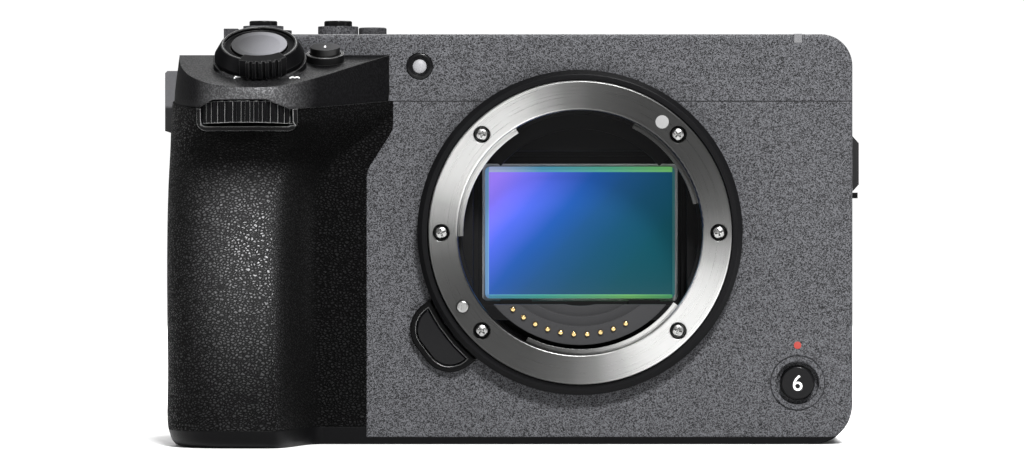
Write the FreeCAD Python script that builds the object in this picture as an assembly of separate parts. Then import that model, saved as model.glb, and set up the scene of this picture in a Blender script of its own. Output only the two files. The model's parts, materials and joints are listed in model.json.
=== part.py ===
import FreeCAD, Part
import math
import os

# Compact full-frame cinema camera, in millimetres. +Z is up, the lens side faces -Y and the grip is at -X.
# The origin is the mouth of the tripod socket, on the base, below the lens axis.

V = FreeCAD.Vector
UP = V(0, 0, 1)
FRONT = V(0, -1, 0)
BACK = V(0, 1, 0)
RIGHT = V(1, 0, 0)
LEFT = V(-1, 0, 0)
INFINITE = 400.0

# Lens mount
lens_axis_above_middle = 1.25
flange_y = -20.0
flange_focal_distance = 18.0
mount_stand = 4.5
throat_radius = 23.05
mount_radius = 28.6
surround_radius = 30.65
surround_height = 3.6
surround_chamfer = 0.9
tab_radius = 22.0
tab_depth = 1.5
tab_thickness = 1.3
mount_screw_circle = 26.1
mount_screw_angles = (0.0, 45.0, 135.0, 180.0, 225.0, 315.0)
tab_angles = ((14.0, 63.5), (121.7, 181.8), (243.6, 323.3))
lock_pin_angle = 212.3
lock_pin_radius = 1.15
lock_pin_proud = 1.2
screw_head_radius = 1.3
screw_recess_gap = 0.35
screw_head_height = 1.0
screw_shank_radius = 0.85
screw_recess = 0.35

# Body box
grip_swell = 0.5
body_right = 51.5
body_height = 77.5
body_back = 29.5
wall = 2.0
seam_below_top = 12.7
split_y = 14.0
base_thickness = 1.4
corner_top_right = 6.0
corner_bottom_right = 7.5
corner_top_left = 20.0
panel_corner = 17.0
corner_bottom_left = 3.0
edge_round = 0.8
part_gap = 0.15
slide_gap = 0.2
running_gap = 0.05

# Grip
grip_left = -77.1
grip_front = 39.5
grip_skin = 1.3
grip_boundary_top = -35.3
grip_boundary_low = -40.3
grip_step_depth = 5.4
grip_step_height = 7.8
grip_step_round = 4.2
grip_base_height = 3.3
deck_front_drop = 0.306
deck_below_top = 4.0
seam_drop = 0.107
shoulder_back = 4.0

# Shutter button and zoom lever
lever_tilt = 29.0
lever_from_left = 17.2
lever_y = -25.0
lever_below_top = 4.85
lever_base_radius = 8.4
lever_rim_radius = 7.3
lever_rim_width = 0.7
lever_height = 3.0
lever_bore_radius = 5.4
lever_dish = 0.6
lever_sleeve = 4.2
lever_well_depth = 5.0
plinth_radius = 8.7
plinth_depth = 9.0
sleeve_wall = 1.0
stem_radius = 1.1
stem_length = 4.0
shutter_depth = 2.6
dial_clearance = 0.4
dial_end_gap = 0.3
shutter_radius = 5.2
shutter_dish_radius = 22.0
tab_outer_radius = 9.8
tab_half_angle = 29.0
rib_half_angle = 20.0
tab_turn = 8.0
tab_rise = 0.9
tab_lift = 0.55
tab_ribs = 6
tab_rib_depth = 0.7

# Front dial
dial_from_left = 15.3
dial_y = -27.3
dial_below_top = 15.5
dial_lean = 2.0
dial_radius = 9.75
dial_height = 4.0
dial_teeth = 36
dial_brow_rise = 2.4
bezel_half_width = 9.4
bezel_low = 3.2
bezel_rim = 0.85
bezel_proud = 0.2
bezel_corner = 1.9
tooth_depth = 0.6
tooth_share = 0.46
axle_radius = 1.2

# Buttons on top
record_from_left = 15.7
button_a_x = -46.9
button_b_x = -40.2
top_button_y = 10.0
top_button_radius = 2.7
collar_radius = 3.9
record_collar_height = 2.5
button_a_collar_height = 2.4
cap_proud = 1.0
button_b_height = 2.2
deck_button_x = -47.9
deck_button_y = -19.6
deck_button_radius = 2.8
deck_collar_radius = 3.55
deck_collar_height = 1.5
deck_cap_proud = 1.3
deck_well_depth = 3.0
deck_well_wall = 0.5
button_travel = 0.8
foot_gap = 0.1
foot_thickness = 0.8
switch_radius = 5.5
switch_reach = 7.6
switch_height = 1.5
switch_pad_radius = 6.0

# Front of the body
front_button_x = 41.1
front_button_z = 11.6
front_button_radius = 3.1
front_bezel_radius = 5.05
front_bezel_bore = 4.07
lamp_x = -30.3
lamp_below_top = 6.1
lamp_radius = 2.45
release_angle = 217.4
release_reach = 37.7
release_half_width = 7.2
release_round = 5.6
release_rim = 1.1
release_proud = 1.5
release_travel = 1.5
tally_x = 41.2
tally_width = 1.6

# Sensor
sensor_width = 36.3
sensor_height = 25.2
glass_thickness = 1.3
window_margin = 0.55
chassis_thickness = 2.0
baffle_step_radius = 22.4
arch_radius = 19.6
contact_arc_radius = 19.2
contact_count = 10
contact_first = -41.1
contact_pitch = 7.53
contact_radius = 0.45
contact_outer = 21.2
contact_end_left = 16.0
contact_end_right = 29.0
tray_rings = ((17.9, 15.9, 1.6), (16.1, 13.9, 3.2))
tray_half_angle = 46.0
throat_groove = 0.35
frame_clips = ((9.2, 15.2), (-15.2, -9.2))

# Monitor
monitor_left = -30.6
monitor_right = 44.4
monitor_low = 5.0
monitor_below_top = 12.2
monitor_thickness = 8.1
monitor_gap = 0.7
hinge_x = 48.2
hinge_radius = 3.2
arm_height = 23.6
bracket_height = 4.4
hinge_pin_radius = 1.2

# Control panel at the back
panel_right = -31.6
panel_depth = 5.0
panel_low = 3.0
panel_below_top = 3.0
wheel_from_left = 22.1
wheel_below_top = 45.5
wheel_radius = 10.5
wheel_proud = 1.6
centre_radius = 4.2
joystick_x = -39.4
joystick_below_top = 23.5
joystick_radius = 3.3
joystick_pivot_y = 29.0
yoke_radius = 3.4
rear_button_radius = 2.9
rear_button_proud = 0.8
thumb_rest_depth = 10.5
rear_dial_from_left = 16.6
rear_dial_below_top = 9.1
rear_dial_radius = 9.5
rear_dial_height = 3.8
rear_dial_proud = 1.5

# Fixings and fittings
tripod_radius = 3.175
tripod_depth = 5.5
bush_radius = 5.0
bush_wall = 1.5
side_bush_radius = 4.1
shoe_width = 18.8
shoe_gap = 2.05
shoe_length = 18.5
shoe_sheet = 0.8
right_lug_height = 13.6
right_lug_reach = 2.5
left_lug_height = 12.6
left_lug_reach = 3.0
lug_width = 4.5
lug_bar = 1.35
right_lug_slope = 2.8
left_lug_slope = 0.45
left_lug_low_slope = 1.0
left_lug_width = 7.0
left_slot_width = 4.6
lug_post = 1.1
lug_root = 7.0
battery_x = 20.5
battery_y = 35.0
battery_below_seam = 18.8
battery_wall = 2.6
battery_front = -22.5
battery_floor = 2.2
door_thickness = 1.4
door_gap = 0.25
door_pin_radius = 0.45
door_pin_length = 1.2
door_lift = 0.15
side_door_bar = 3.2
pull_tab_reach = 2.1
pull_tab_height = 1.1
pull_tab_z = 46.6
fan_x = 24.0
fan_z = 34.0
fan_radius = 12.6
fan_blades = 9

# Values that follow from the ones above
lens_axis_z = body_height / 2 + lens_axis_above_middle
body_left = grip_left + grip_swell
seam_z = body_height - seam_below_top
grip_step_top = seam_z - grip_step_depth
grip_step_low = grip_step_top - grip_step_height
deck_back_z = body_height - deck_below_top
lever_x = grip_left + lever_from_left
lever_z = body_height - lever_below_top
dial_x = grip_left + dial_from_left
dial_z = body_height - dial_below_top
record_x = grip_left + record_from_left
lamp_z = body_height - lamp_below_top
monitor_top = body_height - monitor_below_top
arm_low = (monitor_low + monitor_top - arm_height) / 2
arm_top = arm_low + arm_height
panel_top = body_height - panel_below_top
wheel_x = body_left + wheel_from_left
wheel_z = body_height - wheel_below_top
joystick_z = body_height - joystick_below_top
rear_dial_x = body_left + rear_dial_from_left
rear_dial_z = body_height - rear_dial_below_top
battery_left = grip_left + battery_wall
battery_top = seam_z - battery_below_seam + battery_floor
front_y = flange_y + mount_stand
sensor_y = flange_y + flange_focal_distance
lens_centre = V(0, flange_y, lens_axis_z)
inner_front = front_y + wall
inner_back = body_back - wall
panel_back = body_back + panel_depth
tilt = math.radians(lever_tilt)
lever_axis = V(0, -math.sin(tilt), math.cos(tilt))
lever_forward = V(0, -math.cos(tilt), -math.sin(tilt))
lever_centre = V(lever_x, lever_y, lever_z)
lean = math.radians(dial_lean)
dial_axis = V(0, math.sin(lean), math.cos(lean))
dial_centre = V(dial_x, dial_y, dial_z)
deck_tilt = math.atan(deck_front_drop)
deck_normal = V(0, -math.sin(deck_tilt), math.cos(deck_tilt))
monitor_front = body_back + monitor_gap
monitor_back = monitor_front + monitor_thickness
hinge_y = monitor_front + monitor_thickness / 2

parts = {}


# Shapes used by many pieces

def block(x_low, x_high, y_low, y_high, z_low, z_high):
    return Part.makeBox(x_high - x_low, y_high - y_low, z_high - z_low, V(x_low, y_low, z_low))


def rod(start, axis, radius, length):
    return Part.makeCylinder(radius, length, start, axis)


def tube(start, axis, outer, inner, length):
    return rod(start, axis, outer, length).cut(rod(start, axis, inner, length))


def rounded_wire(corners, radii, place):
    edges = []
    starts = []
    ends = []
    count = len(corners)
    for i in range(count):
        here = V(corners[i][0], corners[i][1], 0)
        before = V(corners[i - 1][0], corners[i - 1][1], 0)
        after = V(corners[(i + 1) % count][0], corners[(i + 1) % count][1], 0)
        to_before = (before - here).normalize()
        to_after = (after - here).normalize()
        half = to_before.getAngle(to_after) / 2
        reach = radii[i] / math.tan(half)
        middle = (to_before + to_after).normalize()
        centre = here + middle * (radii[i] / math.sin(half))
        starts.append(here + to_before * reach)
        ends.append(here + to_after * reach)
        if radii[i] > 0:
            top = centre - middle * radii[i]
            edges.append(Part.Arc(place(starts[i]), place(top), place(ends[i])).toShape())
    for i in range(count):
        start = ends[i]
        end = starts[(i + 1) % count]
        if start.distanceToPoint(end) > 0.001:
            edges.append(Part.makeLine(place(start), place(end)))
    return Part.Wire(Part.__sortEdges__(edges))


def plate_y(corners, radii, y_low, y_high):
    wire = rounded_wire(corners, radii, lambda p: V(p.x, y_low, p.y))
    return Part.Face(wire).extrude(V(0, y_high - y_low, 0))


def plate_z(corners, radii, z_low, z_high):
    wire = rounded_wire(corners, radii, lambda p: V(p.x, p.y, z_low))
    return Part.Face(wire).extrude(V(0, 0, z_high - z_low))


def rectangle(u_low, u_high, v_low, v_high):
    return [(u_low, v_low), (u_high, v_low), (u_high, v_high), (u_low, v_high)]


def half_space(point, normal):
    side = normal.cross(V(0.3, 0.5, 0.8)).normalize()
    other = normal.cross(side).normalize()
    corner = point - side * INFINITE / 2 - other * INFINITE / 2
    ends = [corner, corner + side * INFINITE, corner + (side + other) * INFINITE, corner + other * INFINITE]
    return Part.Face(Part.makePolygon(ends + [corner])).extrude(normal.normalize() * INFINITE)


def around_lens(angle, radius, y):
    turn = math.radians(angle)
    return V(radius * math.cos(turn), y, lens_axis_z + radius * math.sin(turn))


def sector(inner, outer, first, last, y_low, y_high):
    edges = []
    middle = (first + last) / 2
    outer_arc = [around_lens(a, outer, y_low) for a in (first, middle, last)]
    inner_arc = [around_lens(a, inner, y_low) for a in (last, middle, first)]
    edges.append(Part.Arc(*outer_arc).toShape())
    edges.append(Part.makeLine(outer_arc[2], inner_arc[0]))
    edges.append(Part.Arc(*inner_arc).toShape())
    edges.append(Part.makeLine(inner_arc[2], outer_arc[0]))
    return Part.Face(Part.Wire(edges)).extrude(V(0, y_high - y_low, 0))


def toothed_disc(radius, depth, teeth, height, centre, axis):
    # A row of rounded ridges: each tooth is an arc, and shallow valleys lie between them.
    frame = FreeCAD.Placement(centre - axis * height / 2, FreeCAD.Rotation(UP, axis))
    edges = []
    step = 2 * math.pi / teeth
    for i in range(teeth):
        base = i * step
        end = base + step * tooth_share
        ridge = [(radius - depth, base), (radius, (base + end) / 2), (radius - depth, end)]
        points = [V(r * math.cos(a), r * math.sin(a), 0) for r, a in ridge]
        following = V((radius - depth) * math.cos(base + step), (radius - depth) * math.sin(base + step), 0)
        edges.append(Part.Arc(*points).toShape())
        edges.append(Part.makeLine(points[2], following))
    disc = Part.Face(Part.Wire(edges)).extrude(V(0, 0, height))
    disc.Placement = frame
    return disc


def round_edges(shape, radius, wanted):
    edges = [edge for edge in shape.Edges if wanted(edge.BoundBox)]
    return shape.makeFillet(radius, edges)


def body_block(inset):
    corners = rectangle(body_left + inset, body_right - inset, inset, body_height - inset)
    radii = [corner_bottom_left, corner_bottom_right, corner_top_right, corner_top_left]
    radii = [max(r - inset, edge_round) for r in radii]
    return plate_y(corners, radii, front_y + inset, body_back - inset)


# Grip: lofts through cross-sections, from the base to above the deck, with rows drawn for this seam height.
rows_seam_z = 64.8


def grip_section(z, valley_x, nose_x, nose_y, left_x, corner_x, corner_y, hollow, inset):
    face_y = front_y + inset
    left = left_x + inset
    nose = nose_y + inset
    start = V(grip_boundary_top + 1.3, face_y, z)
    valley = V(valley_x - inset, face_y, z)
    nose_right = V(nose_x - inset / 2, nose, z)
    corner_start = V(left + corner_x, nose, z)
    corner_end = V(left, nose + corner_y, z)
    side_end = V(left, split_y, z)
    back_end = V(start.x, split_y, z)
    flank = nose_right - valley
    crown = V(0, -0.35, 0)
    bend = 0.56
    third = (corner_start - nose_right) * 0.33
    heading = (third + crown).normalize()
    leave = V(flank.x * 0.52, flank.y * 0.62, 0) * (1 - hollow) + V(flank.x * 0.5, 0, 0) * hollow
    arrive = heading * abs(flank.x) * (0.22 * (1 - hollow) + 0.45 * hollow)
    from_start = corner_start + (third - crown).normalize() * corner_x * bend
    to_end = corner_end - V(0, corner_y * bend, 0)
    curves = [
        [valley, valley + leave, nose_right - arrive, nose_right],
        [nose_right, nose_right + third + crown, corner_start - third + crown, corner_start],
        [corner_start, from_start, to_end, corner_end],
    ]
    edges = [Part.makeLine(start, valley)]
    for poles in curves:
        curve = Part.BezierCurve()
        curve.setPoles(poles)
        edges.append(curve.toShape())
    edges.append(Part.makeLine(corner_end, side_end))
    edges.append(Part.makeLine(side_end, back_end))
    edges.append(Part.makeLine(back_end, start))
    return Part.Wire(edges)


def hand_grip(inset):
    # Each row: height, valley x, nose x, nose set back, side set in, corner width, corner depth, hollow.
    return grip_loft(inset, seam_z / rows_seam_z, 0.0, [
        (0.0, -48.5, -57.0, 6.0, 2.6, 9.0, 12.0, 1.0),
        (1.6, -48.5, -57.0, 3.3, 0.6, 9.5, 13.0, 1.0),
        (3.6, -48.6, -57.2, 2.6, 0.0, 10.0, 14.0, 1.0),
        (12.0, -48.8, -57.5, 1.4, 0.0, 10.0, 14.0, 1.0),
        (26.0, -49.0, -58.0, 0.2, 0.0, 10.0, 14.0, 1.0),
        (39.0, -49.0, -58.0, 0.2, 0.0, 10.0, 14.0, 1.0),
        (46.5, -48.5, -58.0, 2.0, 0.0, 10.0, 14.0, 1.0),
        (53.0, -46.0, -57.0, 5.6, 0.0, 10.0, 14.0, 0.8),
        (59.0, -39.5, -57.0, 6.0, 0.0, 11.0, 17.0, 0.3),
        (65.0, -36.4, -57.2, 4.4, 0.3, 12.0, 20.0, 0.0),
    ])


def hand_deck():
    return grip_loft(0.0, 1.0, seam_z - rows_seam_z, [
        (60.0, -36.4, -57.0, 5.8, 0.3, 11.0, 19.0, 0.0),
        (62.6, -36.3, -57.1, 4.8, 0.4, 12.0, 20.0, 0.0),
        (64.6, -36.2, -57.2, 3.0, 0.6, 12.0, 21.0, 0.0),
        (66.6, -36.0, -57.5, 2.3, 0.7, 13.0, 22.0, 0.0),
        (69.0, -36.0, -57.5, 2.4, 0.9, 13.0, 23.0, 0.0),
        (72.5, -36.0, -57.5, 3.4, 1.2, 13.0, 24.0, 0.0),
        (76.0, -36.0, -57.5, 5.0, 1.6, 13.0, 24.0, 0.0),
    ])


def grip_loft(inset, stretch, lift, rows):
    wires = []
    for height, valley_x, nose_x, setback, set_in, corner_x, corner_y, hollow in rows:
        z = height * stretch + lift
        nose_y = setback - grip_front
        left_x = grip_left + set_in
        wires.append(grip_section(z, valley_x, nose_x, nose_y, left_x, corner_x, corner_y, hollow, inset))
    return Part.makeLoft(wires, True, False, False, 3)


def grip_side(gap):
    # Everything on the grip's side of the S-shaped joint line between the leather and the front cover.
    edge = gap / 2
    corners = [
        (grip_left - INFINITE / 4, -INFINITE / 4),
        (grip_boundary_low - edge, -INFINITE / 4),
        (grip_boundary_low - edge, grip_step_low),
        (grip_boundary_top - edge, grip_step_top),
        (grip_boundary_top - edge, INFINITE / 4),
        (grip_left - INFINITE / 4, INFINITE / 4),
    ]
    return plate_y(corners, [0, 0, grip_step_round, grip_step_round, 0, 0], -INFINITE / 4, INFINITE / 4)


seam_point = V(0, front_y, seam_z)
below_seam = half_space(seam_point, V(0, seam_drop, -1))
above_seam = half_space(seam_point, V(0, -seam_drop, 1))
below_deck = half_space(V(0, front_y, deck_back_z), deck_normal * -1)
above_deck = half_space(V(0, front_y, deck_back_z), deck_normal * 1)
grip_outer = hand_grip(0.0)
grip_inner = hand_grip(grip_skin)
grip_zone = grip_side(0.0)
dial_lip = dial_height / 2 + dial_end_gap
pocket_start = dial_centre - dial_axis * dial_lip
dial_pocket = rod(pocket_start, dial_axis, dial_radius + dial_clearance, 2 * dial_lip)
brow_half = bezel_half_width + part_gap
brow_radius = (brow_half ** 2 + dial_brow_rise ** 2) / (2 * dial_brow_rise)
brow_place = V(dial_x, -INFINITE / 4, dial_z + dial_lip + 0.2 - brow_radius)
dial_brow = rod(brow_place, BACK, brow_radius, INFINITE / 4 + dial_y)
battery_box = [
    battery_left, battery_left + battery_x, battery_front, battery_front + battery_y,
    battery_floor, battery_top,
]


def grown_battery(gap):
    x_low, x_high, y_low, y_high, z_low, z_high = battery_box
    return block(x_low - gap, x_high + gap, y_low - gap, y_high + gap, -1, z_high + gap)


def bezel_window(grow):
    # The dial's window in the leather: open at the top, with round lower corners.
    half = bezel_half_width + grow
    low = dial_z - bezel_low - grow
    high = seam_z + 1.0
    corners = rectangle(dial_x - half, dial_x + half, low, high)
    radius = bezel_corner + grow
    return plate_y(corners, [radius, radius, 0, 0], -INFINITE / 4, dial_y)


def make_grip():
    well = grown_battery(slide_gap)
    zone = block(-INFINITE / 4, 0, -INFINITE / 4, split_y, grip_base_height, seam_z).common(below_seam)
    zone = zone.common(grip_zone)
    behind_front = block(-INFINITE / 4, 0, inner_front, split_y, grip_base_height, seam_z - 1.5)
    frame = grip_inner.common(zone).cut(well).cut(dial_pocket)
    skin = grip_outer.cut(grip_inner).common(zone).cut(dial_pocket).cut(bezel_window(part_gap))
    pin_start = dial_centre - dial_axis * (dial_lip + 1.0)
    frame = frame.fuse(rod(pin_start, dial_axis, axle_radius, dial_height + 1.2))
    hollow_left = battery_left + battery_x + 2 * wall
    hollow_front = front_y + grip_skin + wall
    hollow_low = grip_base_height + wall
    hollow = block(hollow_left, grip_boundary_low - wall, hollow_front, split_y, hollow_low, seam_z - wall)
    parts["grip_frame"] = frame.cut(hollow.common(behind_front))
    parts["grip_cover"] = skin
    bezel = hand_grip(-bezel_proud).cut(grip_inner).common(bezel_window(0.0)).cut(bezel_window(-bezel_rim))
    swept = rod(pocket_start, dial_axis, dial_radius + slide_gap, 2 * dial_lip)
    parts["front_dial_bezel"] = bezel.common(below_seam).cut(swept)
    wheel = toothed_disc(dial_radius, tooth_depth, dial_teeth, dial_height, dial_centre, dial_axis)
    parts["front_dial"] = wheel.cut(rod(pin_start, dial_axis, axle_radius + running_gap, dial_height + 3))


def make_deck():
    block_shape = hand_deck().common(grip_zone)
    deck = block_shape.common(above_seam).common(below_deck).common(half_space(V(0, front_y, 0), FRONT))
    fall = (deck_back_z - seam_z) / (shoulder_back - front_y)
    shoulder = block_shape.common(block(-INFINITE / 4, 0, front_y, shoulder_back, seam_z, body_height))
    shoulder = shoulder.common(half_space(V(0, front_y, deck_back_z), V(0, -fall, -1))).cut(body_block(0.0))
    well_radius = lever_bore_radius + sleeve_wall
    plinth_foot = lever_centre - lever_axis * plinth_depth
    plinth = rod(plinth_foot, lever_axis, plinth_radius, plinth_depth - part_gap).common(above_deck)
    well_place = lever_centre - lever_axis * lever_well_depth
    bore = rod(well_place, lever_axis, well_radius + running_gap, lever_well_depth + 2.2)
    stem_hole = rod(plinth_foot, lever_axis, stem_radius + slide_gap, plinth_depth - stem_length)
    deck = deck.fuse([plinth, shoulder])
    for space in (bore, stem_hole, dial_pocket, dial_brow, body_block(0.0)):
        deck = deck.cut(space)
    base = V(deck_button_x, deck_button_y, deck_back_z + deck_front_drop * (deck_button_y - front_y))
    well_place = base - deck_normal * deck_well_depth
    well_outer = deck_button_radius + deck_well_wall
    button_well = rod(well_place, deck_normal, well_outer, deck_well_depth + 0.2)
    deck = deck.cut(button_well)
    deck = deck.cut(rod(base, deck_normal, deck_collar_radius + part_gap, deck_collar_height + 2.0))
    parts["grip_deck"] = deck
    bore_radius = deck_button_radius + slide_gap
    collar = tube(well_place, deck_normal, well_outer, bore_radius, deck_well_depth)
    ring = tube(base, deck_normal, deck_collar_radius, bore_radius, deck_collar_height)
    floor = rod(well_place, deck_normal, well_outer, foot_thickness)
    collars = [collar.fuse([ring, floor])]
    for x, height in ((record_x, record_collar_height), (button_a_x, button_a_collar_height)):
        place = V(x, top_button_y, body_height)
        collars.append(tube(place, UP, collar_radius, top_button_radius + slide_gap, height))
    parts["button_collars"] = Part.makeCompound(collars)
    cap_depth = deck_well_depth - foot_thickness - button_travel - foot_gap
    cap_length = cap_depth + deck_collar_height + deck_cap_proud
    parts["deck_button"] = rod(base - deck_normal * cap_depth, deck_normal, deck_button_radius, cap_length)


def make_lever():
    rise = lever_height
    profile = [
        V(lever_bore_radius, 0, -lever_sleeve),
        V(lever_bore_radius + sleeve_wall, 0, -lever_sleeve),
        V(lever_bore_radius + sleeve_wall, 0, 0),
        V(lever_base_radius, 0, 0),
        V(lever_base_radius, 0, edge_round),
        V(lever_rim_radius, 0, rise - 0.25),
        V(lever_rim_radius - 0.2, 0, rise),
        V(lever_rim_radius - lever_rim_width, 0, rise),
        V(lever_rim_radius - lever_rim_width, 0, rise - lever_dish),
        V(lever_bore_radius, 0, rise - lever_dish),
    ]
    face = Part.Face(Part.makePolygon(profile + [profile[0]]))
    lever = face.revolve(V(0, 0, 0), UP, 360)
    lever.Placement = FreeCAD.Placement(lever_centre, FreeCAD.Rotation(UP, lever_axis))
    spread = math.radians(tab_half_angle)
    grip_parts = []
    middle = math.radians(tab_turn)
    shelf = tab_solid(lever_rim_radius - lever_rim_width, tab_outer_radius - tab_rib_depth, middle - spread,
                      middle + spread)
    grip_parts.append(shelf)
    rib_spread = math.radians(rib_half_angle)
    width = 2 * rib_spread / (tab_ribs * 2 - 1)
    for i in range(tab_ribs):
        first = middle - rib_spread + 2 * i * width
        grip_parts.append(tab_solid(lever_rim_radius, tab_outer_radius, first, first + width))
    parts["zoom_lever"] = lever.fuse(grip_parts)
    cap_top = lever_height - 0.15
    cap_low = lever_centre - lever_axis * shutter_depth
    cap = rod(cap_low, lever_axis, shutter_radius, cap_top + shutter_depth)
    bowl_centre = lever_centre + lever_axis * (cap_top - 0.35 + shutter_dish_radius)
    cap = cap.cut(Part.makeSphere(shutter_dish_radius, bowl_centre))
    stem_low = cap_low - lever_axis * (stem_length - wall / 4)
    parts["shutter_button"] = cap.fuse(rod(stem_low, lever_axis, stem_radius, stem_length))


def tab_solid(inner, outer, first, last):
    # A wedge of the lever's thumb tab, from one angle to another about the lever's axis.
    side = RIGHT
    low = tab_lift
    top = lever_height + tab_rise

    def place(radius, angle, height):
        spoke = lever_forward * (radius * math.cos(angle)) + side * (radius * math.sin(angle))
        return lever_centre + spoke + lever_axis * height

    middle = (first + last) / 2
    outer_arc = Part.Arc(*[place(outer, a, low) for a in (first, middle, last)]).toShape()
    inner_arc = Part.Arc(*[place(inner, a, low) for a in (last, middle, first)]).toShape()
    sides = [
        Part.makeLine(place(outer, last, low), place(inner, last, low)),
        Part.makeLine(place(inner, first, low), place(outer, first, low)),
    ]
    wire = Part.Wire([outer_arc, sides[0], inner_arc, sides[1]])
    return Part.Face(wire).extrude(lever_axis * (top - low))


# Covers

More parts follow.
